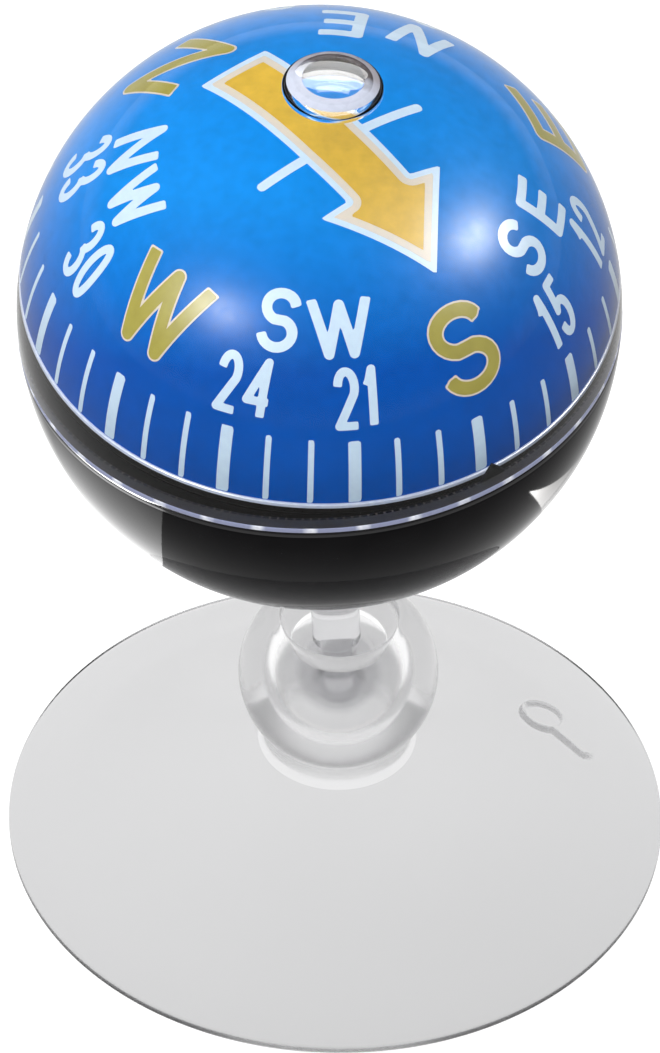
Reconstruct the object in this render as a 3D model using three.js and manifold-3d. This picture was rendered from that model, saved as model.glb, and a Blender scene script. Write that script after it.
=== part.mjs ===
// A liquid-filled ball compass on a clear suction cup.
// Lengths are millimetres. +Z points up, and the origin is the centre of the cup's sealing face.

import * as THREE from "three";
import { mergeVertices } from "three/addons/utils/BufferGeometryUtils.js";
import Module from "manifold-3d";

const wasm = await Module();
wasm.setup();

// Fits that every piece shares
const GAP = 0.3; // clearance between a piece and its seat
const OVERRUN = 1; // how far a cutter passes the face that it cuts

// Suction cup: a thin bell with a flat sealing ring, a short neck and a hollow round knob
const CUP_RADIUS = 22.5;
const CUP_LIP_THICKNESS = 0.8;
const CUP_LIP_ROUND = 0.25;
const CUP_SHOULDER_HEIGHT = 8.8; // back of the bell, where the neck starts
const CUP_CROWN_THICKNESS = 3; // bell wall on the axis
const CUP_BELL_POWER = 1.25; // exponent of the bell's back, 1 is a cone
const SEAL_WIDTH = 2.6; // flat ring that meets the surface
const NECK_RADIUS = 5.15;
const NECK_HEIGHT = 1.4;
const NECK_FILLET = 1;
const KNOB_WALL = 2.45;
const MOUTH_ROUND = 0.5;
const MOUTH_CREST_DROP = 0.12; // crest of the rounded mouth below the knob's sphere

// Release tab moulded on the bell's back, near the rim
const TAB_LENGTH = 6.2;
const TAB_WIDTH = 2.4;
const TAB_HEAD_RADIUS = 1.9;
const TAB_HEIGHT = 0.7; // above the bell
const TAB_ROOT = 0.5; // sunk in the bell's wall
const TAB_INSET = 3.9; // from the rim to the tab's middle
const TAB_BEARING = 26; // degrees round from +X
const TAB_TURN = -75; // degrees from the radius to the tab's tongue

// Ball joint inside the knob: a bead turns in a bush, and the bush turns in the knob
const TILT_LIMIT = 15; // degrees each way, for the bush and for the bead
const REST_LEAN = 3; // degrees that the stem and ball lean to the left at rest
const BEAD_RADIUS = 2.7;
const BUSH_WALL = 1.1;

// Stem: a pin through the bead, a slim neck, a body, and a flange under the ball
const PIN_RADIUS = 1;
const PIN_HEAD_RADIUS = 1.55;
const PIN_HEAD_THICKNESS = 0.6;
const PIN_HEAD_DROP = 1.2; // bead centre down to the head
const STEM_NECK_RADIUS = 1.65;
const STEM_NECK_REACH = 0.3; // neck showing above the knob's sphere
const STEM_BODY_RADIUS = 3;
const STEM_SHOULDER = 2; // height of the slope from neck to body
const STEM_FLANGE_RADIUS = 4.8;
const STEM_FLANGE_THICKNESS = 0.9;
const STEM_FLARE = 2.2; // height of the slope from body to flange
const STEM_LENGTH = 14; // bead centre up to the ball's lowest point
const SPIGOT_RADIUS = 2.2;
const SPIGOT_HOLE_DEPTH = 2.9;

// Ball: a clear dome over a black bowl, with a thin gasket between
const BALL_RADIUS = 20.5;
const DOME_WALL = 1.3;
const BOWL_WALL = 1.4;
const BOWL_LIP_WIDTH = 2.5;
const SEAM_DROP = 0.5; // ball centre down to the dome's edge
const GASKET_THICKNESS = 0.3;
const GASKET_WIDTH = 1.5;
const BOSS_RADIUS = 4.6;
const BOSS_HEIGHT = 4.8; // above the ball's lowest point

// Fill plug in the back of the bowl
const FILL_TILT = 38; // degrees round from straight down
const FILL_SHANK_RADIUS = 1.7;
const FILL_HEAD_RADIUS = 2.7;
const FILL_HEAD_THICKNESS = 0.6;
const FILL_HEAD_ROUND = 0.2;

// Pointer that stands on the bowl's lip, inside the dome
const POINTER_WIDTH = 1.9;
const POINTER_HEIGHT = 1.3;
const POINTER_THICKNESS = 0.5;
const POINTER_TURN = 37.7; // degrees round from the front, to the right

// Pivot: a post with a needle, and the collar that the float's keeper catches
const PIVOT_RISE = 1; // ball centre up to the needle's tip
const POST_RADIUS = 1.1;
const POST_FOOT_RADIUS = 4;
const POST_FOOT_THICKNESS = 1;
const POST_ROOT_RADIUS = 2.4;
const POST_ROOT_HEIGHT = 3.4;
const POST_SPIGOT_RADIUS = 1.3;
const POST_RECESS_DEPTH = 1;
const POST_TOP_DROP = 2.2; // needle's tip down to the post's top
const POST_LEDGE_RADIUS = 1.8;
const POST_LEDGE_THICKNESS = 0.5;
const NEEDLE_RADIUS = 0.4;
const NEEDLE_POINT = 2; // height of the needle's cone
const NEEDLE_SOCKET_DEPTH = 1.8;
const COLLAR_LAP = 0.85; // collar's reach past the keeper's bore
const COLLAR_THICKNESS = 0.8;
const COLLAR_DROP = 4.1; // needle's tip down to the collar

// Jewel bearing: a rocking jewel in a brass holder
const CARD_SWING = 10; // degrees each way, for the jewel and for its holder
const JEWEL_RADIUS = 1.5;
const JEWEL_FOOT_DROP = 0.75; // needle's tip down to the jewel's flat foot
const JEWEL_CONE_RADIUS = 0.9;
const HOLDER_WALL = 0.7;
const HOLDER_FLANGE_WIDTH = 0.9;
const HOLDER_FLANGE_THICKNESS = 0.8;
const HOLDER_FOOT_DROP = 1.3; // needle's tip down to the holder's foot

// Card: a blue dome on a pale rim ring
const CARD_SIDE_CLEARANCE = 3.05; // card's edge to the ball's dome
const CARD_CROWN_CLEARANCE = 6.3; // card's crown to the ball's dome
const CARD_EDGE_DROP = 1.2; // ball centre down to the card's edge
const CARD_WALL = 0.8;
const CARD_FULLNESS = 2.3; // exponent of the card's outline, 2 is an ellipse
const FRONT_BEARING = 219.2; // compass bearing printed at the front
const RIM_THICKNESS = 0.5;
const RIM_OVERHANG = 0.2;
const RIM_WIDTH = 1.7;

// Float base: a shallow dish with a tower over the post
const BASE_INSET = 0.15; // base's edge inside the card's edge
const BASE_DEPTH = 6.1;
const BASE_TURN_IN = 2.4; // how far the dish draws in at its floor
const BASE_WALL = 0.9;
const TOWER_WALL = 0.9;
const TOWER_HEIGHT = 1.9; // above the needle's tip
const TOWER_SHOULDER_DROP = 1.3; // needle's tip down to where the tower widens
const WELL_CEILING_DROP = 2.3; // needle's tip down to the wide well
const KEEPER_TOP_DROP = 6.8; // needle's tip down to the keeper's upper edge
const KEEPER_FLANGE_WIDTH = 1.3;
const KEEPER_FLANGE_THICKNESS = 0.5;

// Magnets on a carrier plate on the base's floor
const CARRIER_THICKNESS = 0.7;
const MAGNET_HEIGHT = 3;
const MAGNET_EDGE_MARGIN = 0.15; // magnet's corner to the carrier's edge
const MAGNET_INSET_SHARE = 0.1; // of the carrier's ring, from its bore to the magnet
const MAGNET_WIDTH_SHARE = 0.54; // of the carrier's ring

// Facets round a turned piece, and steps along its arcs
const LARGE_FACETS = 48;
const MEDIUM_FACETS = 24;
const SMALL_FACETS = 16;
const LARGE_ARC_STEPS = 8;
const SMALL_ARC_STEPS = 5;
const ROUND_STEPS = 3;

const radians = THREE.MathUtils.degToRad;
const tiltTogether = (limit) => Math.acos(Math.cos(radians(limit)) ** 2);

// Radius that a ring needs at a distance from a pivot, so that a rod through it can swing
function swingRadius(rodRadius, distance, swing) {
  return rodRadius / Math.cos(swing) + distance * Math.tan(swing) + GAP;
}

// Sizes that follow from the ones above
const STEM_SWING = tiltTogether(TILT_LIMIT);
const FLOAT_SWING = tiltTogether(CARD_SWING);
const BEAD_BORE_RADIUS = PIN_RADIUS + GAP;
const BUSH_INNER_RADIUS = BEAD_RADIUS + GAP;
const BUSH_RADIUS = BUSH_INNER_RADIUS + BUSH_WALL;
const SOCKET_RADIUS = BUSH_RADIUS + GAP;
const KNOB_RADIUS = SOCKET_RADIUS + KNOB_WALL;
const NECK_TOP_DROP = chordHeight(KNOB_RADIUS, NECK_RADIUS);
const KNOB_CENTRE_HEIGHT = CUP_SHOULDER_HEIGHT + NECK_HEIGHT + NECK_TOP_DROP;
const SEAL_INNER_RADIUS = CUP_RADIUS - SEAL_WIDTH;
const HOLLOW_HEIGHT = CUP_SHOULDER_HEIGHT - CUP_CROWN_THICKNESS;
const DOME_INNER_RADIUS = BALL_RADIUS - DOME_WALL;
const BOWL_INNER_RADIUS = BALL_RADIUS - BOWL_WALL;
const GASKET_TOP_DROP = SEAM_DROP + GAP;
const BOWL_LIP_DROP = GASKET_TOP_DROP + GASKET_THICKNESS + GAP;
const BOWL_LIP_RADIUS = chordHeight(BALL_RADIUS, BOWL_LIP_DROP);
const BOWL_MOUTH_RADIUS = BOWL_LIP_RADIUS - BOWL_LIP_WIDTH;
const SPIGOT_HOLE_RADIUS = SPIGOT_RADIUS + GAP;
const BOSS_TOP = BOSS_HEIGHT - BALL_RADIUS;
const HOLDER_SOCKET_RADIUS = JEWEL_RADIUS + GAP;
const HOLDER_RADIUS = HOLDER_SOCKET_RADIUS + HOLDER_WALL;
const HOLDER_FLANGE_RADIUS = HOLDER_RADIUS + HOLDER_FLANGE_WIDTH;
const HOLDER_FLANGE_TOP_DROP = HOLDER_FOOT_DROP - HOLDER_FLANGE_THICKNESS;
const CARD_RADIUS = DOME_INNER_RADIUS - CARD_SIDE_CLEARANCE;
const CARD_CROWN_HEIGHT = DOME_INNER_RADIUS - CARD_CROWN_CLEARANCE + CARD_EDGE_DROP;
const RIM_TOP_DROP = CARD_EDGE_DROP + GAP;
const BASE_EDGE_DROP = RIM_TOP_DROP + RIM_THICKNESS + GAP;
const BASE_EDGE_RADIUS = CARD_RADIUS - BASE_INSET;
const BASE_FOOT_DROP = BASE_EDGE_DROP + BASE_DEPTH;
const BASE_FLOOR_DROP = BASE_FOOT_DROP - BASE_WALL;
const KEEPER_FOOT_DROP = PIVOT_RISE + BASE_FOOT_DROP + GAP + KEEPER_FLANGE_THICKNESS;
const KEEPER_TOP_RADIUS = swingRadius(POST_RADIUS, KEEPER_TOP_DROP, FLOAT_SWING);
const KEEPER_FOOT_RADIUS = swingRadius(POST_RADIUS, KEEPER_FOOT_DROP, FLOAT_SWING);
const COLLAR_RADIUS = KEEPER_TOP_RADIUS + COLLAR_LAP;
const COLLAR_FOOT_DROP = COLLAR_DROP + COLLAR_THICKNESS;
const WELL_RADIUS = swingRadius(COLLAR_RADIUS, COLLAR_FOOT_DROP, FLOAT_SWING);
const TOWER_RADIUS = WELL_RADIUS + TOWER_WALL;
const CARRIER_RADIUS = BASE_EDGE_RADIUS - BASE_WALL - BASE_TURN_IN - GAP;
const CARRIER_BORE_RADIUS = TOWER_RADIUS + GAP;
const CARRIER_RING = CARRIER_RADIUS - CARRIER_BORE_RADIUS;
const FLANGE_RECESS_RADIUS = HOLDER_FLANGE_RADIUS + GAP;
const TOWER_TOP_RADIUS = FLANGE_RECESS_RADIUS + TOWER_WALL;

// Distance from a sphere's centre to the plane where its section has the given radius, or the reverse
function chordHeight(sphereRadius, other) {
  return Math.sqrt(sphereRadius ** 2 - other ** 2);
}

// A point on a circle centred on the axis, as a [radius, height] pair
function arcPoint(radius, centre, latitude) {
  return [Math.max(radius * Math.cos(latitude), 0), centre + radius * Math.sin(latitude)];
}

// Points of an arc centred on the axis, between two latitudes in radians
function arc(radius, centre, from, to, steps) {
  const points = [];
  for (let i = 0; i <= steps; i += 1) {
    points.push(arcPoint(radius, centre, from + ((to - from) * i) / steps));
  }
  return points;
}

// Points of a small rounded corner about a centre off the axis
function corner(centreRadius, centreHeight, round, from, to) {
  return arc(round, centreHeight, from, to, ROUND_STEPS).map(([, height], i) => {
    const latitude = from + ((to - from) * i) / ROUND_STEPS;
    return [centreRadius + round * Math.cos(latitude), height];
  });
}

// Points of a smooth slope between two [radius, height] pairs, upright at both ends
function slope([startRadius, startHeight], [endRadius, endHeight]) {
  const points = [];
  for (let i = 0; i <= SMALL_ARC_STEPS; i += 1) {
    const share = i / SMALL_ARC_STEPS;
    const blend = (1 - Math.cos(Math.PI * share)) / 2;
    points.push([
      startRadius + (endRadius - startRadius) * blend,
      startHeight + (endHeight - startHeight) * share,
    ]);
  }
  return points;
}

// A turned solid from [radius, height] pairs whose two ends lie on the axis
function turned(profile, facets) {
  const outline = profile.map(([radius, height]) => new THREE.Vector2(radius, height));
  const geometry = new THREE.LatheGeometry(outline, facets);
  geometry.rotateX(Math.PI / 2);
  return geometry;
}

// A turned ring from [radius, height] pairs that run once round its section
function turnedRing(profile, facets) {
  return turned([...profile, profile[0]], facets);
}

// A closed geometry as a solid that can be joined and cut
function toSolid(geometry) {
  const bare = geometry.clone();
  bare.deleteAttribute("normal");
  bare.deleteAttribute("uv");
  const merged = mergeVertices(bare);
  const corners = [];
  for (let i = 0; i < merged.index.count; i += 3) {
    const [a, b, c] = [0, 1, 2].map((k) => merged.index.getX(i + k));
    if (a !== b && b !== c && c !== a) {
      corners.push(a, b, c);
    }
  }
  const vertProperties = Float32Array.from(merged.attributes.position.array);
  const triVerts = Uint32Array.from(corners);
  return new wasm.Manifold(new wasm.Mesh({ numProp: 3, vertProperties, triVerts }));
}

// A solid back as a geometry
function toGeometry(solid) {
  const mesh = solid.getMesh();
  const geometry = new THREE.BufferGeometry();
  geometry.setAttribute("position", new THREE.BufferAttribute(Float32Array.from(mesh.vertProperties), 3));
  geometry.setIndex(new THREE.BufferAttribute(Uint32Array.from(mesh.triVerts), 1));
  geometry.computeVertexNormals();
  return geometry;
}

// Height of the bell's back at a radius
function bellHeight(radius) {
  const run = (radius - NECK_RADIUS) / (CUP_RADIUS - NECK_RADIUS);
  const climb = (1 - Math.min(Math.max(run, 0), 1)) ** CUP_BELL_POWER;
  return CUP_LIP_THICKNESS + (CUP_SHOULDER_HEIGHT - CUP_LIP_THICKNESS) * climb;
}

// Height of the bell's hollow at a radius, a parabola that meets the sealing ring
function hollowHeight(radius) {
  return HOLLOW_HEIGHT * (1 - (radius / SEAL_INNER_RADIUS) ** 2);
}

// The funnel that the stem swings in, from the socket up to the knob's mouth
function funnelRadius(distance) {
  return swingRadius(STEM_NECK_RADIUS, distance, STEM_SWING);
}

// Distance above a pivot where a swing cone meets a sphere about the same pivot
function coneMeetsSphere(sphereRadius, rodRadius, swing) {
  const slope = Math.tan(swing);
  const base = swingRadius(rodRadius, 0, swing);
  const a = 1 + slope ** 2;
  const b = 2 * slope * base;
  const c = base ** 2 - sphereRadius ** 2;
  return (Math.sqrt(b ** 2 - 4 * a * c) - b) / (2 * a);
}

function suctionCupBody() {
  const quarter = Math.PI / 2;
  const hollow = [];
  for (let i = 0; i <= SMALL_ARC_STEPS; i += 1) {
    const radius = (SEAL_INNER_RADIUS * i) / SMALL_ARC_STEPS;
    hollow.push([radius, hollowHeight(radius)]);
  }
  const lipRadius = CUP_RADIUS - CUP_LIP_ROUND;
  const back = [];
  const backRun = lipRadius - CUP_LIP_ROUND - NECK_RADIUS - NECK_FILLET;
  for (let i = 0; i <= LARGE_ARC_STEPS; i += 1) {
    const radius = lipRadius - CUP_LIP_ROUND - (backRun * i) / LARGE_ARC_STEPS;
    back.push([radius, bellHeight(radius)]);
  }
  const neckFoot = bellHeight(NECK_RADIUS + NECK_FILLET) + NECK_FILLET;
  const fillet = corner(NECK_RADIUS + NECK_FILLET, neckFoot, -NECK_FILLET, quarter, 0);
  const mouthDistance = coneMeetsSphere(KNOB_RADIUS, STEM_NECK_RADIUS, STEM_SWING);
  const mouthLatitude = Math.atan2(mouthDistance, funnelRadius(mouthDistance));
  const lipTurn = MOUTH_ROUND / KNOB_RADIUS;
  const knobStart = -Math.acos(NECK_RADIUS / KNOB_RADIUS);
  const knob = arc(KNOB_RADIUS, KNOB_CENTRE_HEIGHT, knobStart, mouthLatitude - lipTurn, LARGE_ARC_STEPS);
  const crest = arcPoint(KNOB_RADIUS - MOUTH_CREST_DROP, KNOB_CENTRE_HEIGHT, mouthLatitude);
  const funnelTop = mouthDistance - MOUTH_ROUND;
  const throat = coneMeetsSphere(SOCKET_RADIUS, STEM_NECK_RADIUS, STEM_SWING);
  const throatLatitude = Math.atan2(throat, funnelRadius(throat));
  const socket = arc(SOCKET_RADIUS, KNOB_CENTRE_HEIGHT, throatLatitude, -quarter, LARGE_ARC_STEPS);
  return turned(
    [
      ...hollow,
      ...corner(lipRadius, CUP_LIP_ROUND, CUP_LIP_ROUND, -quarter, 0),
      ...corner(lipRadius, CUP_LIP_THICKNESS - CUP_LIP_ROUND, CUP_LIP_ROUND, 0, quarter),
      ...back.slice(1),
      ...fillet.slice(1),
      ...knob,
      crest,
      [funnelRadius(funnelTop), KNOB_CENTRE_HEIGHT + funnelTop],
      ...socket,
    ],
    LARGE_FACETS,
  );
}

// Outline of the release tab: a round head with a straight tongue
function tabOutline() {
  const halfWidth = TAB_WIDTH / 2;
  const tongue = TAB_LENGTH / 2 - halfWidth;
  const head = TAB_HEAD_RADIUS - TAB_LENGTH / 2;
  const meet = Math.asin(halfWidth / TAB_HEAD_RADIUS);
  const outline = new THREE.Shape();
  outline.absarc(tongue, 0, halfWidth, -Math.PI / 2, Math.PI / 2, false);
  outline.absarc(head, 0, TAB_HEAD_RADIUS, meet, 2 * Math.PI - meet, false);
  return outline;
}

// The tab lies parallel to the bell's back, its root in the wall
function releaseTab() {
  const middle = CUP_RADIUS - TAB_INSET;
  const drop = bellHeight(middle - TAB_WIDTH) - bellHeight(middle + TAB_WIDTH);
  const tab = new THREE.ExtrudeGeometry(tabOutline(), {
    depth: TAB_HEIGHT + TAB_ROOT,
    steps: 1,
    curveSegments: SMALL_ARC_STEPS,
    bevelEnabled: false,
  });
  tab.translate(0, 0, -TAB_ROOT);
  tab.rotateZ(radians(TAB_TURN));
  tab.rotateY(Math.atan2(drop, 2 * TAB_WIDTH));
  tab.translate(middle, 0, bellHeight(middle));
  tab.rotateZ(radians(TAB_BEARING));
  return tab;
}

function suctionCup() {
  return toGeometry(toSolid(suctionCupBody()).add(toSolid(releaseTab())));
}

// Round bush whose outside turns in the knob and whose inside holds the bead
function socketBush() {
  const quarter = Math.PI / 2;
  const tilt = radians(TILT_LIMIT);
  const outer = coneMeetsSphere(BUSH_RADIUS, STEM_NECK_RADIUS, tilt);
  const inner = coneMeetsSphere(BUSH_INNER_RADIUS, STEM_NECK_RADIUS, tilt);
  const outerLatitude = Math.atan2(outer, swingRadius(STEM_NECK_RADIUS, outer, tilt));
  const innerLatitude = Math.atan2(inner, swingRadius(STEM_NECK_RADIUS, inner, tilt));
  return turned(
    [
      ...arc(BUSH_RADIUS, 0, -quarter, outerLatitude, LARGE_ARC_STEPS),
      ...arc(BUSH_INNER_RADIUS, 0, innerLatitude, -quarter, LARGE_ARC_STEPS),
    ],
    MEDIUM_FACETS,
  );
}

// Bead with a bore for the pin and a counterbore for the pin's head
function stemBead() {
  const counterboreRadius = PIN_HEAD_RADIUS + GAP;
  const counterboreTop = GAP - PIN_HEAD_DROP;
  const start = -Math.acos(counterboreRadius / BEAD_RADIUS);
  const end = Math.acos(BEAD_BORE_RADIUS / BEAD_RADIUS);
  return turnedRing(
    [
      ...arc(BEAD_RADIUS, 0, start, end, LARGE_ARC_STEPS),
      [BEAD_BORE_RADIUS, counterboreTop],
      [counterboreRadius, counterboreTop],
    ],
    MEDIUM_FACETS,
  );
}

// Stem about the bead's centre, from the pin's head up to the spigot in the bowl
function swivelStem() {
  const ballCentre = STEM_LENGTH + BALL_RADIUS;
  const seatRadius = BALL_RADIUS + GAP;
  const beadTop = chordHeight(BEAD_RADIUS, BEAD_BORE_RADIUS);
  const neckTop = KNOB_RADIUS + STEM_NECK_REACH;
  const flangeTop = ballCentre - chordHeight(seatRadius, STEM_FLANGE_RADIUS);
  const flangeFoot = flangeTop - STEM_FLANGE_THICKNESS;
  const seatFrom = -Math.acos(STEM_FLANGE_RADIUS / seatRadius);
  const seatTo = -Math.acos(SPIGOT_RADIUS / seatRadius);
  const spigotTop = STEM_LENGTH + SPIGOT_HOLE_DEPTH - GAP;
  return turned(
    [
      [0, -PIN_HEAD_DROP - PIN_HEAD_THICKNESS],
      [PIN_HEAD_RADIUS, -PIN_HEAD_DROP - PIN_HEAD_THICKNESS],
      [PIN_HEAD_RADIUS, -PIN_HEAD_DROP],
      [PIN_RADIUS, -PIN_HEAD_DROP],
      [PIN_RADIUS, beadTop + GAP],
      [STEM_NECK_RADIUS, beadTop + GAP],
      ...slope([STEM_NECK_RADIUS, neckTop], [STEM_BODY_RADIUS, neckTop + STEM_SHOULDER]),
      ...slope([STEM_BODY_RADIUS, flangeFoot - STEM_FLARE], [STEM_FLANGE_RADIUS, flangeFoot]),
      ...arc(seatRadius, ballCentre, seatFrom, seatTo, ROUND_STEPS),
      [SPIGOT_RADIUS, spigotTop],
      [0, spigotTop],
    ],
    MEDIUM_FACETS,
  );
}

function upperDome() {
  const quarter = Math.PI / 2;
  const innerEdge = -Math.asin(SEAM_DROP / DOME_INNER_RADIUS);
  const outerEdge = -Math.asin(SEAM_DROP / BALL_RADIUS);
  return turned(
    [
      ...arc(DOME_INNER_RADIUS, 0, quarter, innerEdge, LARGE_ARC_STEPS),
      ...arc(BALL_RADIUS, 0, outerEdge, quarter, LARGE_ARC_STEPS),
    ],
    LARGE_FACETS,
  );
}

function seamGasket() {
  const top = -GASKET_TOP_DROP;
  const foot = top - GASKET_THICKNESS;
  const outer = BALL_RADIUS;
  const inner = outer - GASKET_WIDTH;
  return turnedRing([[inner, foot], [outer, foot], [outer, top], [inner, top]], LARGE_FACETS);
}

function lowerBowlBody() {
  const lipLatitude = -Math.asin(BOWL_LIP_DROP / BALL_RADIUS);
  const holeLatitude = -Math.acos(SPIGOT_HOLE_RADIUS / BALL_RADIUS);
  const mouthLatitude = -Math.acos(BOWL_MOUTH_RADIUS / BOWL_INNER_RADIUS);
  const bossLatitude = -Math.acos(BOSS_RADIUS / BOWL_INNER_RADIUS);
  const recessRadius = POST_SPIGOT_RADIUS + GAP;
  const holeTop = SPIGOT_HOLE_DEPTH - BALL_RADIUS;
  return turned(
    [
      [0, holeTop],
      [SPIGOT_HOLE_RADIUS, holeTop],
      ...arc(BALL_RADIUS, 0, holeLatitude, lipLatitude, LARGE_ARC_STEPS),
      [BOWL_MOUTH_RADIUS, -BOWL_LIP_DROP],
      ...arc(BOWL_INNER_RADIUS, 0, mouthLatitude, bossLatitude, LARGE_ARC_STEPS),
      [BOSS_RADIUS, BOSS_TOP],
      [recessRadius, BOSS_TOP],
      [recessRadius, BOSS_TOP - POST_RECESS_DEPTH],
      [0, BOSS_TOP - POST_RECESS_DEPTH],
    ],
    LARGE_FACETS,
  );
}

function lowerBowl() {
  const holeRadius = FILL_SHANK_RADIUS + GAP;
  const length = BOWL_WALL + 2 * OVERRUN;
  const hole = new THREE.CylinderGeometry(holeRadius, holeRadius, length, SMALL_FACETS);
  hole.rotateX(Math.PI / 2);
  hole.translate(0, 0, BOWL_WALL / 2 - BALL_RADIUS);
  hole.rotateX(radians(FILL_TILT));
  return toGeometry(toSolid(lowerBowlBody()).subtract(toSolid(hole)));
}

// Plug on the ball's own axis, its head hollowed to lie on the bowl, turned to its place by its group
function fillPlug() {
  const seatRadius = BALL_RADIUS + GAP;
  const headFoot = -seatRadius - FILL_HEAD_THICKNESS;
  const rounded = FILL_HEAD_RADIUS - FILL_HEAD_ROUND;
  const seatFrom = -Math.acos(FILL_HEAD_RADIUS / seatRadius);
  const seatTo = -Math.acos(FILL_SHANK_RADIUS / seatRadius);
  return turned(
    [
      [0, headFoot],
      ...corner(rounded, headFoot + FILL_HEAD_ROUND, FILL_HEAD_ROUND, -Math.PI / 2, 0),
      ...arc(seatRadius, 0, seatFrom, seatTo, ROUND_STEPS),
      [FILL_SHANK_RADIUS, -BOWL_INNER_RADIUS],
      [0, -BOWL_INNER_RADIUS],
    ],
    SMALL_FACETS,
  );
}

// A small upright triangle with its point up, standing at the front of the bowl's lip
function lubberPointer() {
  const outline = new THREE.Shape();
  outline.moveTo(-POINTER_WIDTH / 2, 0);
  outline.lineTo(POINTER_WIDTH / 2, 0);
  outline.lineTo(0, POINTER_HEIGHT);
  outline.closePath();
  const pointer = new THREE.ExtrudeGeometry(outline, {
    depth: POINTER_THICKNESS,
    steps: 1,
    bevelEnabled: false,
  });
  pointer.rotateX(Math.PI / 2);
  pointer.translate(0, POINTER_THICKNESS - chordHeight(BOWL_MOUTH_RADIUS + POINTER_THICKNESS, POINTER_WIDTH / 2), 0);
  pointer.translate(0, 0, GAP - BOWL_LIP_DROP);
  return pointer;
}

// Post, needle and collar are drawn with the needle's tip at the origin
function pivotPost() {
  const bossTop = BOSS_TOP - PIVOT_RISE;
  const footBottom = bossTop + GAP;
  const footTop = footBottom + POST_FOOT_THICKNESS;
  const spigotFoot = bossTop - POST_RECESS_DEPTH + GAP;
  const ledgeTop = -COLLAR_FOOT_DROP - GAP;
  const ledgeFoot = ledgeTop - POST_LEDGE_THICKNESS;
  const socketRadius = NEEDLE_RADIUS + GAP;
  const socketFoot = -POST_TOP_DROP - NEEDLE_SOCKET_DEPTH;
  return turned(
    [
      [0, spigotFoot],
      [POST_SPIGOT_RADIUS, spigotFoot],
      [POST_SPIGOT_RADIUS, footBottom],
      [POST_FOOT_RADIUS, footBottom],
      [POST_FOOT_RADIUS, footTop],
      [POST_ROOT_RADIUS, footTop],
      [POST_RADIUS, footTop + POST_ROOT_HEIGHT],
      [POST_RADIUS, ledgeFoot],
      [POST_LEDGE_RADIUS, ledgeFoot],
      [POST_LEDGE_RADIUS, ledgeTop],
      [POST_RADIUS, ledgeTop],
      [POST_RADIUS, -POST_TOP_DROP],
      [socketRadius, -POST_TOP_DROP],
      [socketRadius, socketFoot],
      [0, socketFoot],
    ],
    SMALL_FACETS,
  );
}

function pivotNeedle() {
  const foot = GAP - POST_TOP_DROP - NEEDLE_SOCKET_DEPTH;
  return turned([[0, foot], [NEEDLE_RADIUS, foot], [NEEDLE_RADIUS, -NEEDLE_POINT], [0, 0]], SMALL_FACETS);
}

function postCollar() {
  const inner = POST_RADIUS + GAP;
  const foot = -COLLAR_FOOT_DROP;
  const top = -COLLAR_DROP;
  return turnedRing([[inner, foot], [COLLAR_RADIUS, foot], [COLLAR_RADIUS, top], [inner, top]], SMALL_FACETS);
}

// Jewel: a ball with a flat foot and a cone that the needle's tip sits in
function jewelBead() {
  const footLatitude = -Math.asin(JEWEL_FOOT_DROP / JEWEL_RADIUS);
  return turned(
    [
      [0, GAP],
      [JEWEL_CONE_RADIUS, -JEWEL_FOOT_DROP],
      ...arc(JEWEL_RADIUS, 0, footLatitude, Math.PI / 2, SMALL_ARC_STEPS),
    ],
    SMALL_FACETS,
  );
}

// Holder: a cap over the jewel, with a flange at its foot that carries the float
function jewelHolder() {
  const mouthLatitude = -Math.asin(HOLDER_FOOT_DROP / HOLDER_SOCKET_RADIUS);
  return turned(
    [
      ...arc(HOLDER_SOCKET_RADIUS, 0, Math.PI / 2, mouthLatitude, LARGE_ARC_STEPS),
      [HOLDER_FLANGE_RADIUS, -HOLDER_FOOT_DROP],
      [HOLDER_FLANGE_RADIUS, -HOLDER_FLANGE_TOP_DROP],
      [HOLDER_RADIUS, -HOLDER_FLANGE_TOP_DROP],
      ...arc(HOLDER_RADIUS, 0, 0, Math.PI / 2, SMALL_ARC_STEPS),
    ],
    SMALL_FACETS,
  );
}

// Points of the card's outline, radius against height, from its edge up to its crown:
// (radius / side) ** n + (height / crown) ** n = 1
function cardOutline(side, crown) {
  const points = [];
  for (let i = 0; i <= LARGE_ARC_STEPS; i += 1) {
    const turn = ((Math.PI / 2) * i) / LARGE_ARC_STEPS;
    const radius = side * Math.max(Math.cos(turn), 0) ** (2 / CARD_FULLNESS);
    const height = crown * Math.sin(turn) ** (2 / CARD_FULLNESS);
    points.push([i === LARGE_ARC_STEPS ? 0 : radius, height - CARD_EDGE_DROP]);
  }
  return points;
}

function cardDome() {
  const outer = cardOutline(CARD_RADIUS, CARD_CROWN_HEIGHT);
  const inner = cardOutline(CARD_RADIUS - CARD_WALL, CARD_CROWN_HEIGHT - CARD_WALL);
  return turned([...inner.reverse(), ...outer], LARGE_FACETS);
}

function cardRim() {
  const outer = CARD_RADIUS + RIM_OVERHANG;
  const inner = outer - RIM_WIDTH;
  const top = -RIM_TOP_DROP;
  const foot = top - RIM_THICKNESS;
  return turnedRing([[inner, foot], [outer, foot], [outer, top], [inner, top]], LARGE_FACETS);
}

// Points of the dish's side, an elliptical quarter from its edge in to its floor
function dishSide(edgeRadius, depth, turnIn) {
  const points = [];
  for (let i = 0; i <= SMALL_ARC_STEPS; i += 1) {
    const turn = ((Math.PI / 2) * i) / SMALL_ARC_STEPS;
    const radius = edgeRadius - turnIn * (1 - Math.cos(turn));
    points.push([radius, -BASE_EDGE_DROP - depth * Math.sin(turn)]);
  }
  return points;
}

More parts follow.
